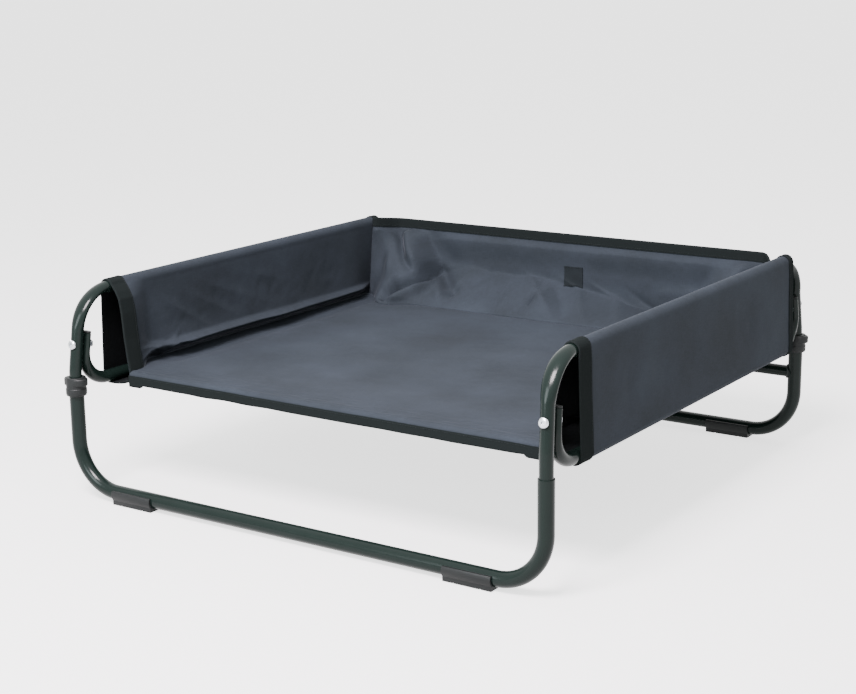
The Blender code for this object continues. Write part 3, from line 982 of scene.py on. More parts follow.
@dataclass
class CrossBar:
    """The bar between the back legs, mitred to them and welded."""

    body: str = "back_legs"
    sunk: float = 4.75 * MM
    bead: float = 1.6 * MM
    bead_over_bar: float = 0.4 * MM
    bead_over_leg: float = 0.9 * MM
    lump: float = 0.25 * MM
    lumps: int = 23

    def build(self) -> None:
        """Makes the bar, its saddle-cut ends and the weld beads."""
        reach = BED.half - self.sunk
        ends = [Vector((sign * reach, BED.half, BED.cross_z)) for sign in (-1, 1)]
        piece = add_cylinder(BED.cross_radius, *ends, 40)
        for side in Side:
            foot = Vector((side.value * BED.half, BED.half, BED.cross_z))
            up = AXIS_Z * 40 * MM
            cut(piece, add_cylinder(BED.leg_radius + BED.fit, foot - up, foot + up))
        finish_piece(piece, "rear_cross_bar_tube", FRAME_COAT, "rear_cross_bar", self.body)
        for side in Side:
            self.weld(side)

    def weld(self, side: Side) -> None:
        """Lays a bead round the joint of bar and leg."""
        start_clean()
        bpy.ops.mesh.primitive_torus_add(
            major_radius=BED.cross_radius + self.bead_over_bar,
            minor_radius=self.bead,
            major_segments=64,
            minor_segments=12,
            location=(0, 0, 0),
        )
        piece = bpy.context.object
        # The ring lies in the plane across the bar and is wrapped round the leg's cylinder.
        across, up, out = points_of(piece).T
        lumps = self.lump * np.sin(np.arctan2(up, across) * self.lumps)
        reach = BED.leg_radius + self.bead_over_leg
        depth = np.sqrt(np.maximum(reach**2 - across**2, 0)) + out + lumps
        x = side.value * (BED.half - depth)
        move_points(piece, np.stack([x, BED.half + across, BED.cross_z + up], axis=1))
        face_out(piece)
        name = f"weld_bead_{side.name.lower()}"
        finish_piece(piece, name, FRAME_COAT, body=self.body, angle=SOFT)


@dataclass
class SideFrame:
    """One side of the upper frame: the top tube, the low rail, and what holds them together."""

    side: Side
    # Radius and height of the screw's domed head, and the size of its dome.
    head: Pair = (6 * MM, 2.6 * MM)
    dome: float = 2.5 * MM
    socket_radius: float = 2.3 * MM
    shank_radius: float = 3 * MM
    nut: Pair = (5.8 * MM, 5 * MM)
    nut_bore: float = 3.2 * MM
    # The plug's cap stands half out of the rail, and its stem is narrower and reaches down.
    cap_half: float = 1.2 * MM
    stem: Pair = (-7.2 * MM, 0.5 * MM)
    stem_inset: float = 1.8 * MM

    def spot(self, y: float, z: float) -> Vector:
        """A point in the side's plane, before it is leaned in."""
        return Vector((self.side.value * BED.half, y, z))

    def press(
        self,
        piece: Piece,
        pressed: Pair,
        bend: float,
        centre: Pair,
        is_end: bool,
    ) -> None:
        """Presses the round section to a wide oval, in the top bends or at the rail's ends.

        Args:
            piece: The open tube.
            pressed: Half sizes across the bed and in the plane of the side.
            bend: The bend's radius.
            centre: The bend's centre (Y, Z) at the back.
            is_end: True for the ends of the low rail.
        """
        wide, thin = (size / BED.tube_radius - 1 for size in pressed)
        points = points_of(piece)
        sign = np.sign(points[:, 1])
        out_y, out_z = np.abs(points[:, 1]) - centre[0], points[:, 2] - centre[1]
        angle = np.arctan2(out_z, out_y) - BED.lean
        if is_end:
            share = 1 - smooth(-angle / math.radians(45))
            share[angle > math.pi / 2] = 0
            straight = angle > 0
        else:
            turn = math.pi / 2 - BED.lean
            inside = (angle > 0) & (angle < turn)
            arch = np.abs(np.sin(np.pi * np.clip(angle, 0, turn) / turn)) ** 0.7
            share = np.where(inside, arch, 0)
            straight = np.zeros(len(angle), bool)
        reach = np.hypot(out_y, out_z)
        along = np.where(straight, reach * np.sin(angle), 0)
        reach = np.where(straight, reach * np.cos(angle), reach)
        reach = bend + (reach - bend) * (1 + thin * share)
        toward = np.where(straight, BED.lean, angle + BED.lean)
        moved_y = centre[0] + reach * np.cos(toward) - along * math.sin(BED.lean)
        moved_z = centre[1] + reach * np.sin(toward) + along * math.cos(BED.lean)
        used = share > 0
        points[used, 1] = (sign * moved_y)[used]
        points[used, 2] = moved_z[used]
        middle = self.side.value * BED.half
        points[:, 0] = middle + (points[:, 0] - middle) * (1 + wide * share)
        move_points(piece, points)

    def dress(self, bench: TubeBench, kind: str, centre: Pair) -> None:
        """Presses a bent tube, gives it its wall and leans it in over the knee.

        Args:
            bench: The bench with the finished run.
            kind: The tube's name without its side.
            centre: The bend's centre (Y, Z) at the back.
        """
        piece = bench.done()
        is_rail = kind == "side_rail"
        pressed = BED.end_pressed if is_rail else BED.top_pressed
        self.press(piece, pressed, BED.low_bend if is_rail else BED.top_bend, centre, is_rail)
        give_wall(piece)
        points = points_of(piece)
        shift = np.array([BED.side_x(height) for height in points[:, 2]]) - BED.half
        points[:, 0] += self.side.value * shift
        move_points(piece, points)
        name = f"{kind}_{self.side.name.lower()}"
        finish_piece(piece, f"{name}_tube", FRAME_COAT, name)

    def top_tube(self) -> None:
        """Bends the upright, top rail and upright in one."""
        lean, knee = BED.lean, BED.knee_bend
        low = BED.knee_z - knee * math.tan(lean / 2)
        bottom = BED.joint_z - BED.insert
        centre = BED.upright(BED.top_rail_z - BED.top_bend, BED.top_bend)
        quarter = lean - math.pi / 2
        bench = TubeBench(BED.tube_radius, self.spot(-BED.half, bottom), AXIS_Z)
        bench.run(self.spot(-BED.half, low))
        bench.bend(self.spot(-BED.half + knee, low), AXIS_X, -lean, 6)
        front = self.spot(-centre[0], centre[1])
        bench.run(front + Vector((0, -math.cos(lean), math.sin(lean))) * BED.top_bend)
        bench.bend(front, AXIS_X, quarter, 28)
        bench.run(self.spot(centre[0], BED.top_rail_z))
        bench.bend(self.spot(*centre), AXIS_X, quarter, 28)
        turned = self.spot(BED.half - knee, low)
        bench.run(turned + Vector((0, math.cos(lean), math.sin(lean))) * knee)
        bench.bend(turned, AXIS_X, -lean, 6)
        bench.run(self.spot(BED.half, bottom))
        self.dress(bench, "side_frame", centre)

    def low_rail(self) -> None:
        """Bends the low rail with its upturned ends."""
        lean = BED.lean
        centre = BED.upright(BED.low_rail_z + BED.low_bend, BED.behind + BED.low_bend)
        top = BED.upright(BED.rail_end_z, BED.behind)
        turn = math.pi / 2 + lean
        down = Vector((0, -math.sin(lean), -math.cos(lean)))
        bench = TubeBench(BED.tube_radius, self.spot(-top[0], top[1]), down)
        front = self.spot(-centre[0], centre[1])
        bench.run(front + Vector((0, -math.cos(lean), math.sin(lean))) * BED.low_bend, 4)
        bench.bend(front, AXIS_X, turn, 28)
        bench.run(self.spot(centre[0], BED.low_rail_z))
        bench.bend(self.spot(*centre), AXIS_X, turn, 28)
        bench.run(self.spot(*top), 4)
        self.dress(bench, "side_rail", centre)

    def screw_line(self, end: End) -> tuple[Vector, Vector]:
        """The screw's axis, from its nut to its head, and where it meets the upright's."""
        out, height = BED.upright(BED.screw_z)
        middle = Vector((self.side.value * BED.side_x(height), end.value * out, height))
        return Vector((0, end.value * math.cos(BED.lean), math.sin(BED.lean))), middle

    def add_screw(self, end: End) -> None:
        """Makes a domed socket screw with its washer face."""
        axis, middle = self.screw_line(end)
        seat = middle + axis * (BED.tube_radius + BED.fit)
        head = add_cylinder(self.head[0], seat, seat + axis * self.head[1], 48)
        take(head)
        bpy.ops.object.mode_set(mode="EDIT")
        bpy.ops.mesh.select_all(action="DESELECT")
        shape = bmesh.from_edit_mesh(head.data)
        for face in shape.faces:
            face.select_set(face.normal.dot(axis) > 0.9)
        bmesh.update_edit_mesh(head.data)
        bpy.ops.mesh.bevel(offset=self.dome, segments=7, profile=0.5)
        bpy.ops.object.mode_set(mode="OBJECT")
        cut(head, add_cylinder(self.socket_radius, seat + axis * MM, seat + axis * 4 * MM, 6))
        grip = BED.tube_radius + BED.behind + BED.end_pressed[1] + 2 * BED.fit
        tip = seat - axis * (grip + 5.9 * MM)
        cut(head, add_cylinder(self.shank_radius, tip, seat + axis * 0.5 * MM, 24), "UNION")
        corner = where(end, self.side)
        finish_piece(head, f"socket_screw_{corner}", SCREW_ZINC, f"screw_{corner}")

    def add_nut(self, end: End) -> None:
        """Makes a hexagon nut with chamfered corners."""
        axis, middle = self.screw_line(end)
        near = middle - axis * (BED.behind + BED.end_pressed[1] + BED.fit)
        far = near - axis * self.nut[1]
        piece = round_edges(add_cylinder(self.nut[0], near, far, 6), 0.5 * MM, 2, math.radians(30))
        over = axis * 2 * MM
        cut(piece, add_cylinder(self.nut_bore, near + over, far - over, 32))
        corner = where(end, self.side)
        finish_piece(piece, f"hexagon_nut_{corner}", SCREW_ZINC, f"nut_{corner}")

    def add_plug(self, end: End) -> None:
        """Makes the oval plug in the rail's end."""
        lean = BED.lean
        height = BED.rail_end_z + (BED.fit + self.cap_half) * math.cos(lean)
        out, _ = BED.upright(height, BED.behind)
        centre = Vector((self.side.value * BED.side_x(height), end.value * out, height))
        along = Vector((0, -end.value * math.sin(lean), math.cos(lean)))
        pieces = []
        for inset, low, high in (
            (0, -self.cap_half, self.cap_half),
            (self.stem_inset, *self.stem),
        ):
            reach = tuple(size - inset for size in BED.end_pressed)
            middle = centre + along * (low + high) / 2
            pieces.append(add_oval(reach, high - low, middle, 40, end.value * lean))
        cap, stem = pieces
        cut(round_edges(cap, 0.9 * MM, 4), stem, "UNION")
        corner = where(end, self.side)
        finish_piece(cap, f"oval_plug_{corner}", FITTING_PLASTIC, f"rail_plug_{corner}")

    def build(self) -> None:
        """Makes all of the side's metal and plastic."""
        self.top_tube()
        self.low_rail()
        for end in End:
            self.add_screw(end)
            self.add_nut(end)
            self.add_plug(end)


@dataclass
class ClampCollar:
    """A plastic clamp round a leg joint: a plain ring under a flange with two ears."""

    side: Side
    end: End
    low: float = 133 * MM
    step: float = 146 * MM
    high: float = 157 * MM
    radius: float = 13.4 * MM
    flange: Pair = (17 * MM, 12.2 * MM)
    slot_half: Pair = (9 * MM, 0.5 * MM)

    def ring(
        self, reach: Pair, low: float, high: float, edge: float, segments: int
    ) -> Piece:
        """Adds an upright oval block with rounded edges round the joint.

        Args:
            reach: Half sizes across and along the bed.
            low: Height of the bottom.
            high: Height of the top.
            edge: Width of the rounding.
            segments: Faces across the rounding.

        Returns:
            The block.
        """
        x, y = self.side.value * BED.half, self.end.value * BED.half
        block = add_oval(reach, high - low, Vector((x, y, (low + high) / 2)), 72)
        return round_edges(block, edge, segments)

    def build(self) -> None:
        """Makes the clamp."""
        core = self.radius - 0.6 * MM
        piece = self.ring((core, core), self.low, self.high, 0.8 * MM, 3)
        outer = (self.radius, self.radius)
        plain = self.ring(outer, self.low + 1 * MM, self.step - 3 * MM, 1.4 * MM, 4)
        cut(piece, plain, "UNION")
        cut(piece, self.ring(self.flange, self.step, self.high - 1 * MM, 2.2 * MM, 5), "UNION")
        foot = Vector((self.side.value * BED.half, self.end.value * BED.half, 0))
        under, over = 0.1, 0.2
        for radius, top in ((BED.tube_radius, over), (BED.leg_radius, BED.joint_z + BED.fit)):
            cut(piece, add_cylinder(radius + BED.fit, foot + AXIS_Z * under, foot + AXIS_Z * top))
        slot_x = foot.x + self.side.value * self.slot_half[0]
        cut(piece, add_box(slot_x, foot.y, self.slot_half, under, over))
        corner = where(self.end, self.side)
        finish_piece(piece, f"clamp_collar_{corner}", FITTING_PLASTIC, f"collar_{corner}")


# The cover. Its tables of folds are in millimetres.


@dataclass
class Sleeve:
    """One side wall: a closed loop of cloth round both rails, bound with tape at its two ends."""

    side: Side
    around: int = 190
    along: int = 190
    crest: float = 171 * MM
    # How far the inner panel leans in at its front end, by height.
    mouth_heights: tuple[float, ...] = (138, 147, 156, 170, 197, 230, 249, 258, 267)
    mouth_leans: tuple[float, ...] = (26, 29, 28, 25, 20, 16, 12, 7, 0)
    # Short creases fan out from the front end of the roll: where each starts, slope, height.
    creases: tuple[tuple[float, float, float], ...] = (
        (-232, 0.25, 4.5),
        (-214, -0.6, 4.0),
        (-188, 0.8, 3.5),
        (-160, -0.3, 2.5),
    )
    # Pulls run slantwise down from the front of the top rail: the same three numbers.
    pulls: tuple[tuple[float, float, float], ...] = (
        (-215, 0.62, 1.3),
        (-170, 0.5, 1.0),
        (-120, 0.4, 0.9),
        (-40, 0.3, 0.6),
    )
    # The fold's part of the loop gets more than its share of the mesh.
    dense: Pair = (0.1, 0.5)
    # The band is narrow at the back, where the wall is sewn on.
    back_band: float = 13 * MM

    def loop(self, share: Values, radius: float) -> tuple[Values, Values]:
        """Walks round the sleeve's section.

        Args:
            share: Place round the loop from nought to one, by length; it runs under the low
                rail, up the inner panel, over the top rail and down the outer panel.
            radius: The loop's distance from the rails' axes.

        Returns:
            Distance towards the bed's inside, and height.
        """
        tall = BED.top_rail_z - BED.low_rail_z
        arc = math.pi * radius
        walk = share * (2 * tall + 2 * arc)
        turn_low = math.pi + np.clip(walk / radius, 0, math.pi)
        turn_high = np.clip((walk - arc - tall) / radius, 0, math.pi)
        inner = BED.low_rail_z + np.clip(walk - arc, 0, tall)
        outer = BED.top_rail_z - np.clip(walk - 2 * arc - tall, 0, tall)
        parts = [walk < arc, walk < arc + tall, walk < 2 * arc + tall]
        outs = [radius * np.cos(turn_low), radius, radius * np.cos(turn_high)]
        low, high = radius * np.sin(turn_low), radius * np.sin(turn_high)
        heights = [BED.low_rail_z + low, inner, BED.top_rail_z + high]
        return np.select(parts, outs, -radius), np.select(parts, heights, outer)

    def inner_fold(self, z: Values, y: Values) -> Values:
        """The long roll of slack cloth above the floor, and the creases at its front end."""
        seed = 41 + self.side.value
        crest = self.crest + 6 * MM * (1 - smooth((y + 262 * MM) / (80 * MM)))
        crest = crest + 1.5 * MM * ripple(y, 0.0, seed, 110 * MM)
        grown, shrunk = smooth((y + 255 * MM) / (120 * MM)), smooth((y - 20 * MM) / (200 * MM))
        reach = (11 + 14 * grown - 8 * shrunk) * MM
        reach = reach * (1 + 0.08 * ripple(y, 0.5, seed + 1, 60 * MM))
        reach = reach * smooth((290 * MM - y) / (56 * MM))
        over = np.clip((z - crest) / (262 * MM - crest), 0, 1)
        roll = np.exp(-((np.maximum(z - crest, 0) / (2.6 * MM)) ** 1.5))
        top = (0.5 * (1 - over) ** 1.15 + 0.5 * roll) * smooth((1 - over) / 0.06)
        base = BED.floor_z + 1.5 * MM
        under = smooth((z - base) / (crest - base)) ** 0.8
        fold = reach * np.where(z > crest, top, under)
        mouth = np.interp(z / MM, self.mouth_heights, self.mouth_leans) * MM
        relief = fold + (mouth - fold) * BED.mouth_share(y)
        for start, slope, height in self.creases:
            line = (y - start * MM) * slope - (z - 170 * MM)
            near = hump(y, start * MM, 26 * MM) * hump(z, 168 * MM, 16 * MM)
            near = near * smooth((y + 262 * MM) / (10 * MM))
            relief = relief + height * MM * crease(line, 4 * MM) * near
        return relief

    def relief(self, out: Values, z: Values, y: Values) -> Values:
        """Slack and folds of the two panels, outwards from the loop's middle."""
        rise = np.clip((z - BED.low_rail_z) / (BED.top_rail_z - BED.low_rail_z), 0, 1)
        between_tapes = BED.sleeve_front - BED.tape_width - 6 * MM
        middle = np.minimum(1, 4 * smooth(1 - np.abs(y) / between_tapes))
        swell = np.sin(np.pi * rise) ** 2
        seed = 11 + self.side.value
        outer = 0.9 * ripple(y, z * 0.25, seed, 55 * MM) + 0.35 * ripple(y, z, seed + 5, 18 * MM)
        inner = 0.5 * ripple(y * 0.6, z + y * 0.25, seed + 2, 26 * MM)
        inner = inner + 0.3 * ripple(y, z, seed + 3, 12 * MM)
        for start, slope, height in self.pulls:
            line = (y - start * MM) * slope + (z - 246 * MM)
            near = hump(y, (start + 60) * MM, 75 * MM)
            inner = inner + height * crease(line, 9 * MM) * near
        loose = np.where(out > 0, 1.5 * MM * inner, 0.8 * MM * outer)
        relief = (loose - 2.2 * MM) * swell * middle
        return relief + self.inner_fold(z, y) * np.clip(out / BED.sleeve_radius, 0, 1)

    def place(self, u: Values, v: Values) -> Spots:
        """Places the cloth's points."""
        y = -BED.sleeve_front + (BED.sleeve_front + BED.sleeve_back) * v
        arc = math.pi * BED.sleeve_radius
        girth = 2 * (BED.top_rail_z - BED.low_rail_z) + 2 * arc
        fold = (arc + 6 * MM) / girth, (arc + 56 * MM) / girth
        share = np.interp(u, [0, *self.dense, 1], [0, *fold, 1])
        out, z = self.loop(share, BED.sleeve_radius - BED.cloth / 2)
        out = out + np.sign(out) * self.relief(out, z, y)
        return self.side.value * (BED.sleeve_plane(z) - out), y, z

    def cloth(self) -> None:
        """Makes the sleeve's cloth."""
        side = self.side.name.lower()
        piece, flat = make_sheet(self.around, self.along, self.place, BED.cloth, True)
        finish_piece(piece, f"sleeve_{side}_cloth", COVER_CLOTH, f"sleeve_{side}", angle=SOFT)
        # The loop's inner face is drawn near black: painted shade for the dark inside of the
        # sleeve.
        piece.data.materials.append(CLOTH_INSIDE_SHADE.material())
        faces = self.around * self.along
        back = np.zeros(len(piece.data.polygons), np.int32)
        back[faces : 2 * faces] = 1
        piece.data.polygons.foreach_set("material_index", back)

    def on_loop(
        self, share: Values, lift: Values | float, y: Values | float
    ) -> tuple[Values, Values]:
        """X and Z of points round the loop, a distance outside its cloth."""
        base, grown = (self.loop(share, BED.sleeve_radius + more) for more in (0, 1 * MM))
        out, z = (b + (g - b) * lift / MM for b, g in zip(base, grown))
        out = out + self.inner_fold(z, y) * np.clip(base[0] / BED.sleeve_radius, 0, 1)
        return self.side.value * (BED.sleeve_plane(z) - out), z

    def tape(self, end: End) -> None:
        """Makes the binding folded over one end of the sleeve, with its stitches."""
        is_front = end is End.FRONT
        mouth = BED.sleeve_front if is_front else BED.sleeve_back
        band = BED.tape_width if is_front else self.back_band
        lift = BED.fit + BED.tape / 2
        lip, fold = mouth + lift, 1.1 * MM
        stations = [(lift, mouth - band * (1 - step / 8)) for step in range(8)]
        for step in range(5):
            angle = math.pi / 2 * step / 4
            sunk, reached = fold * (1 - math.cos(angle)), fold * (1 - math.sin(angle))
            stations.append((lift - sunk, lip - reached))
        stations.append((-BED.cloth, lip))
        lifts, ys = np.array(stations).T
        count = len(stations) - 1
        seed = 61 + self.side.value + 3 * end.value

        def place(u: Values, v: Values) -> Spots:
            """Places the tape's points round the sleeve's mouth."""
            station = np.rint(v * count).astype(int)
            inner_edge = np.clip(1 - v * count / 3, 0, 1)
            wave = 0.9 * MM * ripple(np.abs(u - 0.5), 0.0, seed, 0.06) * inner_edge
            y = end.value * (ys[station] + wave)
            x, z = self.on_loop(u, lifts[station], y)
            return x, y, z

        corner = where(end, self.side)
        piece, _ = make_sheet(200, count, place, BED.tape, True)
        name = f"sleeve_binding_{corner}"
        finish_piece(piece, name, BINDING, f"sleeve_tape_{corner}", angle=SOFT)
        row_y = end.value * (mouth - band + 2.2 * MM)
        x, z = self.on_loop(np.linspace(0, 1, 121), lift + BED.tape / 2 + THREAD_LIFT, row_y)
        sew(f"sleeve_stitches_{corner}", x, row_y, z)

    def build(self) -> None:
        """Makes the cloth and both tapes."""
        self.cloth()
        for end in End:
            self.tape(end)


@dataclass
class FloorPanel:
    """The lying surface: one stretched panel with a rolled front edge and a bound hem."""

    columns: int = 190
    rows: int = 190
    sag: float = 6 * MM
    gutter: float = 5 * MM
    mouth: float = 27.5 * MM

    def side(self, y: Values | float) -> Values:
        """Half width of the floor at a distance along the bed."""
        full = BED.half - BED.sleeve_radius - BED.tape - 3 * BED.fit
        return full - self.mouth * BED.mouth_share(y)

    def height(self, x: Values, y: Values) -> Values:
        """Height of the lying surface."""
        full = self.side(y)
        near, far, beside_x = y - BED.floor_front, BED.floor_back - y, full - np.abs(x)
        along = smooth((near - 20 * MM) / (150 * MM)) * smooth(far / (150 * MM))
        z = BED.floor_z - self.sag * (1 - (np.abs(x) / full) ** 2) * along
        # Beside each rail the cloth dips a little before it climbs to its seam.
        edge = hump(beside_x, 24 * MM, 20 * MM) * smooth(beside_x / (14 * MM))
        z = z - self.gutter * edge * smooth((y + 250 * MM) / (80 * MM))
        loose = ripple(x, y * 1.6, 3, 70 * MM) * 0.7 + ripple(x * 1.2, y * 2.2, 4, 30 * MM) * 0.25
        z = z + 0.6 * MM * loose * smooth((near - 4 * MM) / (60 * MM))
        # Puckers run along the front hem, where its stitching draws the cloth in.
        pucker = ripple(x * 0.55, y * 2.6, 8, 20 * MM) + 0.6 * ripple(x, y * 3.2, 9, 11 * MM)
        return z + 0.6 * MM * pucker * smooth(near / (9 * MM)) * np.exp(-((near / (38 * MM)) ** 2))

    def place(self, u: Values, v: Values) -> Spots:
        """Places the floor's points: the hem first, then the lying surface."""
        across = 2 * u - 1
        drop = BED.floor_z - BED.hem_bend - BED.hem_z
        rolled = drop + math.pi / 2 * BED.hem_bend
        start = BED.floor_front + BED.hem_bend
        length = rolled + BED.floor_back - start
        # Rows are packed more closely near the hem.
        walk = length * (0.35 * v + 0.65 * v**2)
        turn = np.clip((walk - drop) / BED.hem_bend, 0, math.pi / 2)
        hem_y = BED.floor_front + BED.hem_bend * (1 - np.cos(turn))
        hem_z = BED.hem_z + np.minimum(walk, drop) + BED.hem_bend * np.sin(turn)
        share = np.clip((walk - rolled) / (length - rolled), 0, 1)
        y = start + (BED.floor_edge(across * self.side(0.0)) - start) * share
        on_top = walk > rolled
        x = across * self.side(np.where(on_top, y, hem_y))
        swayed = hem_y + BED.hem_sway(x) * (1 - turn / (math.pi / 2))
        return x, np.where(on_top, y, swayed), np.where(on_top, self.height(x, y), hem_z)

    def cloth(self) -> None:
        """Makes the panel."""
        piece, flat = make_sheet(self.columns, self.rows, self.place, BED.cloth)
        finish_piece(piece, "floor_cloth", COVER_CLOTH, "floor_panel", angle=SOFT)

    def tape(self) -> None:
        """Makes the binding folded up over the hem's raw edge."""
        side = self.side(BED.floor_front)
        outs, ups = folded(BED.over_cloth, BED.hem_tape)
        count = len(outs) - 1

        def place(u: Values, v: Values) -> Spots:
            """Places the tape's points along the hem."""
            station = np.rint(v * count).astype(int)
            x = (2 * u - 1) * side
            wave = 0.8 * MM * ripple(x, 0.3, 23, 34 * MM)
            # The sleeves' binding is sewn over its two ends in a small dark tab.
            tab = smooth((np.abs(x) - side + 22 * MM) / (4 * MM))
            drop = (wave - 3 * MM * tab) * (1 - ups[station] / BED.hem_tape)
            y = BED.floor_front - outs[station] * (1 + 0.5 * tab) + BED.hem_sway(x)
            return x, y, BED.hem_z + ups[station] + drop

        piece, _ = make_sheet(220, count, place, BED.tape)
        finish_piece(piece, "floor_hem_binding", BINDING, "floor_tape", angle=SOFT)
        x = np.linspace(-side + 3 * MM, side - 3 * MM, 200)
        face_y = BED.floor_front - BED.over_cloth - BED.tape / 2 - THREAD_LIFT
        row_z = BED.hem_z + BED.hem_tape - 2 * MM
        sew("floor_hem_stitches", x, face_y + BED.hem_sway(x), row_z)

    def build(self) -> None:
        """Makes the panel and its tape."""
        self.cloth()
        self.tape()


# Folds gathered in each back corner: the line each follows as distance from the middle and
# height, its half width, and how far it is sunk (negative: raised).
CORNER_FOLDS: tuple[tuple[Line, float, float], ...] = (
    (((311, 263), (284, 233), (258, 213), (229, 195)), 6.5, 12.0),
    (((324, 258), (294, 206)), 11.0, -8.0),
    (((280, 252), (262, 226), (242, 207)), 9.0, -9.0),
    (((240, 250), (206, 214)), 15.0, 5.0),
    (((272, 169), (264, 180)), 9.5, 18.0),
    (((264, 177), (231, 190)), 6.0, 13.0),
    (((250, 163), (228, 178)), 8.0, -8.0),
    (((217, 190), (172, 175)), 6.0, 12.0),
    (((226, 192), (187, 167)), 4.0, -4.5),
    (((204, 200), (150, 196)), 8.0, -3.0),
)
# Slack gathers in the slope between the corners, fanned about the middle: where each crosses
# 200 mm of height, its slope, its depth and its width.
SLOPE_FOLDS: tuple[tuple[float, float, float, float], ...] = (
    (-41, 0.05, 7.5, 4),
    (-66, 1.9, -7.5, 7),
    (-36, 1.6, 5.25, 6),
    (-8, 1.7, -6.75, 8),
    (34, 1.9, -6.0, 9),
    (-120, -0.6, -4.5, 12),
    (-98, 0.2, 5.25, 8),
    (-166, -0.8, -4.5, 10),
    (92, 1.6, 5.25, 10),
)


@dataclass
class BackWall:
    """The back wall: slack cloth between floor and sleeves, gathered at its corners."""

    columns: int = 230
    rows: int = 120
    tape_width: float = 12.5 * MM
    # The label's half width, its place across and its share of the wall's drop.
    label_half: float = 15.5 * MM
    label_x: float = 5 * MM
    label_down: Pair = (0.39, 0.65)
    label_cloth: float = 0.7 * MM

    @property
    def full(self) -> float:
        """Half width of the wall at the top rail."""
        return self.half_width(BED.top_rail_z)

    def half_width(self, height: Values | float) -> Values:
        """Half width of the wall at a height."""
        return BED.sleeve_plane(height) - BED.sleeve_radius - 2 * BED.fit

    def top(self, across: Values) -> Spots:
        """The top edge, straight along the back and turned forward to the sleeves."""
        x = self.full * np.sin(np.pi / 2 * across)
        turn = smooth((np.abs(x) - BED.back_turn_x) / (self.full - BED.back_turn_x)) ** 1.3
        y = BED.back_top_y + (BED.back_end_y - BED.back_top_y) * turn
        return x, y, BED.back_top_z + np.where(x < 0, 4 * MM, -6 * MM) * turn

    def point(self, across: Values, down: Values) -> Spots:
        """A point of the wall from its share across (-1 to 1) and down (0 to 1)."""
        x, top_y, top_z = self.top(across)
        low_y = BED.floor_edge(x * self.half_width(BED.floor_z) / self.full) + 0.7 * MM
        seam_z = BED.floor_z + 1.5 * MM
        z = top_z + (BED.floor_z - 6 * MM - top_z) * down
        # Between the corners the cloth falls steeply to a knee and then slopes to the floor.
        right, left = smooth((x + 55 * MM) / (190 * MM)), smooth((-150 * MM - x) / (80 * MM))
        knee = (201 - 30 * right - 5 * left) * MM - 7 * MM * hump(x, 6 * MM, 26 * MM)
        knee = knee + 2.5 * MM * ripple(x, 0.0, 33, 60 * MM)
        fallen = smooth((247 * MM - z) / (34 * MM)) - smooth((256 * MM - z) / (11 * MM))
        rise = np.maximum((z - seam_z) / (knee - seam_z), 0)
        slope = low_y + (top_y + 2 * MM - low_y) * rise**1.1
        middle = lesser(top_y + 4 * MM * fallen, slope, 2.5 * MM)
        # At the corners it runs straight from the top edge to the floor.
        share = np.clip((z - seam_z) / (top_z - seam_z), 0, 1)
        corner = low_y + (top_y - low_y) * share
        start, spread = (np.where(x < 0, a * MM, b * MM) for a, b in ((224, 200), (18, 60)))
        weight = smooth((np.abs(x) - start - 0.45 * (z - 200 * MM)) / spread)
        weight = weight * smooth((top_z - 12.5 * MM - z) / (10 * MM))
        y = middle + (corner - middle) * weight
        # The folds fade out at the seams and under the tape.
        fade = smooth((z - seam_z) / (7 * MM)) * smooth((top_z - 13 * MM - z) / (10 * MM))
        sunk = self.folds(x, z) * fade * smooth((self.full - np.abs(x)) / (8 * MM))
        y = np.where(z < seam_z, low_y, y + 0.65 * sunk)
        return x * self.half_width(z) / self.full, y, z - 0.7 * sunk

    def folds(self, x: Values, z: Values) -> Values:
        """Depth of the folds, backwards. Those in the right corner have 0.6 of the left's."""
        depth = 0.9 * ripple(x, z * 1.4, 31, 32 * MM) + 0.4 * ripple(x, z, 32, 13 * MM)
        for side in Side:
            out, share = x * side.value / MM, 0.8 - 0.2 * side.value
            for points, width, deep in CORNER_FOLDS:
                depth = depth + deep * share * stroke(out, z / MM, points, width)
        for start, slope, deep, width in SLOPE_FOLDS:
            line = x - start * MM - slope * (200 * MM - z)
            depth = depth + deep * crease(line, width * MM) * hump(z, 179 * MM, 17 * MM)
        return depth * MM

    def cloth(self) -> None:
        """Makes the wall's cloth."""

        def place(u: Values, v: Values) -> Spots:
            """Places the wall's points."""
            return self.point(2 * u - 1, v)

        piece, flat = make_sheet(self.columns, self.rows, place, BED.cloth)
        finish_piece(piece, "back_wall_cloth", COVER_CLOTH, "back_wall", angle=SOFT)

    def tape(self) -> None:
        """Makes the binding folded over the wall's top edge, with a row of stitches each side."""
        outs, ups = folded(BED.over_cloth, self.tape_width)
        count = len(outs) - 1

        def place(u: Values, v: Values) -> Spots:
            """Places the tape's points along the top edge."""
            station = np.rint(v * count).astype(int)
            across = 2 * u - 1
            x, y, z = self.top(across)
            ahead = self.top(np.minimum(1, across + 0.01))
            behind = self.top(np.maximum(-1, across - 0.01))
            steps = ahead[0] - behind[0], ahead[1] - behind[1]
            return *beside(x, y, steps, outs[station]), z - ups[station]

        piece, _ = make_sheet(240, count, place, BED.tape)
        finish_piece(piece, "back_wall_binding", BINDING, "back_tape", angle=SOFT)
        x, y, z = self.top(np.linspace(-0.985, 0.985, 260))
        out = BED.over_cloth + BED.tape / 2 + THREAD_LIFT
        for face, sign in (("inner", -1), ("outer", 1)):
            row = beside(x, y, (np.gradient(x), np.gradient(y)), sign * out)
            sew(f"back_wall_stitches_{face}", *row, z - self.tape_width + 2.2 * MM)

    def label(self) -> None:
        """Makes the plain woven label, sewn flat on the wall."""
        full = self.half_width(BED.floor_z)
        half = self.label_half / (full * math.pi / 2)
        middle = math.asin(self.label_x / full) / (math.pi / 2)
        lift = BED.over_cloth + BED.fit
        first, last = self.label_down

        def lifted(across: Values, down: Values | float, height: float) -> Values:
            """Points a height in front of the wall's cloth, as rows."""

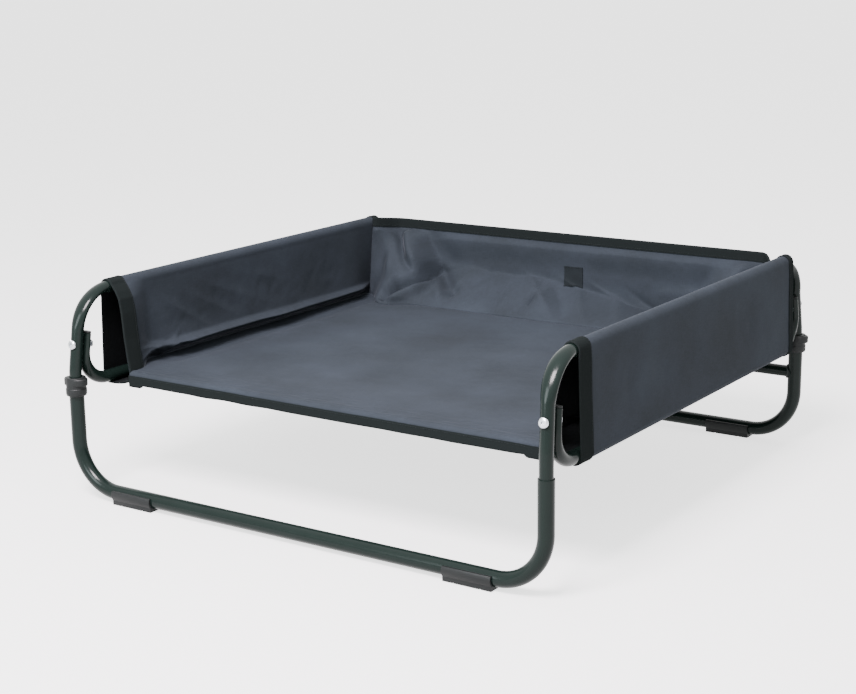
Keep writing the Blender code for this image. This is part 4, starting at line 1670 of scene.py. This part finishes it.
            def near(aside: float, below: float) -> Values:
                """Points of the cloth a little further on."""
                return np.stack(self.point(across + aside, down + below), axis=1)

            rows = near(0.01, 0) - near(-0.01, 0)
            normal = np.cross(near(0, 0.02) - near(0, -0.02), rows)
            normal /= np.linalg.norm(normal, axis=1, keepdims=True)
            return near(0, 0) - normal * np.sign(normal[:, 1:2]) * height

        def place(u: Values, v: Values) -> Spots:
            """Places the label's points just in front of the cloth."""
            return tuple(lifted(middle + half * (2 * u - 1), first + (last - first) * v, lift).T)

        piece, _ = make_sheet(40, 48, place, self.label_cloth)
        finish_piece(piece, "plain_woven_label", LABEL_WEAVE, "woven_label", angle=SOFT)
        across = middle + half * np.linspace(-0.93, 0.93, 24)
        thread = lift + self.label_cloth / 2 + THREAD_LIFT
        for name, down in (("top", first + 0.01), ("bottom", last - 0.01)):
            sew(f"label_stitches_{name}", *lifted(across, down, thread).T, 2.4 * MM)

    def build(self) -> None:
        """Makes the wall, its tape and its label."""
        self.cloth()
        self.tape()
        self.label()


# The studio


@dataclass
class Studio:
    """The pale floor, the soft lights and the camera at the photograph's angle."""

    photo_width: int = 856
    focal_pixels: float = 1695.05
    sensor: float = 36
    place: tuple[float, float, float] = (1.1965, -1.8293, 0.6904)
    yaw: float = math.radians(33.967)
    pitch: float = math.radians(13.453)
    roll: float = math.radians(-0.735)
    horizon: float = 2.6
    zenith: float = 3.3

    def camera(self) -> None:
        """Makes the camera."""
        level = Vector((math.cos(self.yaw), math.sin(self.yaw), 0))
        ahead = Vector((-math.sin(self.yaw), math.cos(self.yaw), 0))
        forward = ahead * math.cos(self.pitch) - AXIS_Z * math.sin(self.pitch)
        upright = level.cross(forward)
        right = level * math.cos(self.roll) + upright * math.sin(self.roll)
        up = upright * math.cos(self.roll) - level * math.sin(self.roll)
        data = bpy.data.cameras.new("photo_camera")
        data.sensor_width = self.sensor
        data.lens = self.focal_pixels * self.sensor / self.photo_width
        data.clip_end = 50
        item = bpy.data.objects.new("photo_camera", data)
        bpy.context.scene.collection.objects.link(item)
        axes = Matrix((right, up, -forward)).transposed()
        item.matrix_world = Matrix.Translation(self.place) @ axes.to_4x4()
        bpy.context.scene.camera = item

    def light(
        self,
        name: str,
        place: tuple[float, float, float],
        size: float,
        power: float,
        tint: tuple[float, float, float],
    ) -> None:
        """Adds one soft box, pointed at the bed.

        Args:
            name: The lamp's name.
            place: Where it hangs.
            size: Its side length.
            power: Its power in watts.
            tint: Its colour.
        """
        data = bpy.data.lights.new(name, "AREA")
        data.shape = "SQUARE"
        data.size = size
        data.energy = power
        data.color = tint
        item = bpy.data.objects.new(name, data)
        bpy.context.scene.collection.objects.link(item)
        item.location = place
        item.rotation_mode = "QUATERNION"
        middle = Vector((0, 0, 0.15))
        item.rotation_quaternion = (middle - Vector(place)).to_track_quat("-Z", "Y")

    def build(self) -> None:
        """Makes the floor, the sky, the lights and the camera."""
        start_clean()
        bpy.ops.mesh.primitive_plane_add(size=90, location=(0, 0, -0.4 * MM))
        ground = bpy.context.object
        ground.name = "studio_floor"
        ground.data.materials.append(PaleBackdrop("pale_studio_floor").material())
        world = bpy.data.worlds.new("studio_sky")
        bpy.context.scene.world = world
        world.use_nodes = True
        tree = world.node_tree
        sky = tree.nodes["Background"]
        sky.inputs["Color"].default_value = (1, 1, 1, 1)
        place = add_node(tree, "ShaderNodeTexCoord").outputs["Generated"]
        height = add_node(tree, "ShaderNodeSeparateXYZ", {}, {"Vector": place}).outputs["Z"]
        strength = Board(tree, False).spread(height, (self.horizon, self.zenith), (0.15, 0.95))
        tree.links.new(strength, sky.inputs["Strength"])
        self.light("key_box", (0.2, -1.5, 2.1), 0.9, 450, (1, 0.91, 0.96))
        self.light("front_box", (-0.7, -3.0, 1.3), 1.4, 150, (0.9, 0.98, 1))
        self.camera()


def main() -> None:
    """Builds everything in order."""
    logging.basicConfig(level=logging.INFO, format="%(name)s %(message)s")
    for end in End:
        LegFrame(end).build()
    CrossBar().build()
    for side in Side:
        SideFrame(side).build()
        Sleeve(side).build()
    ClampCollar(Side.LEFT, End.FRONT).build()
    ClampCollar(Side.RIGHT, End.BACK).build()
    FloorPanel().build()
    BackWall().build()
    Studio().build()


if __name__ == "__main__":
    main()
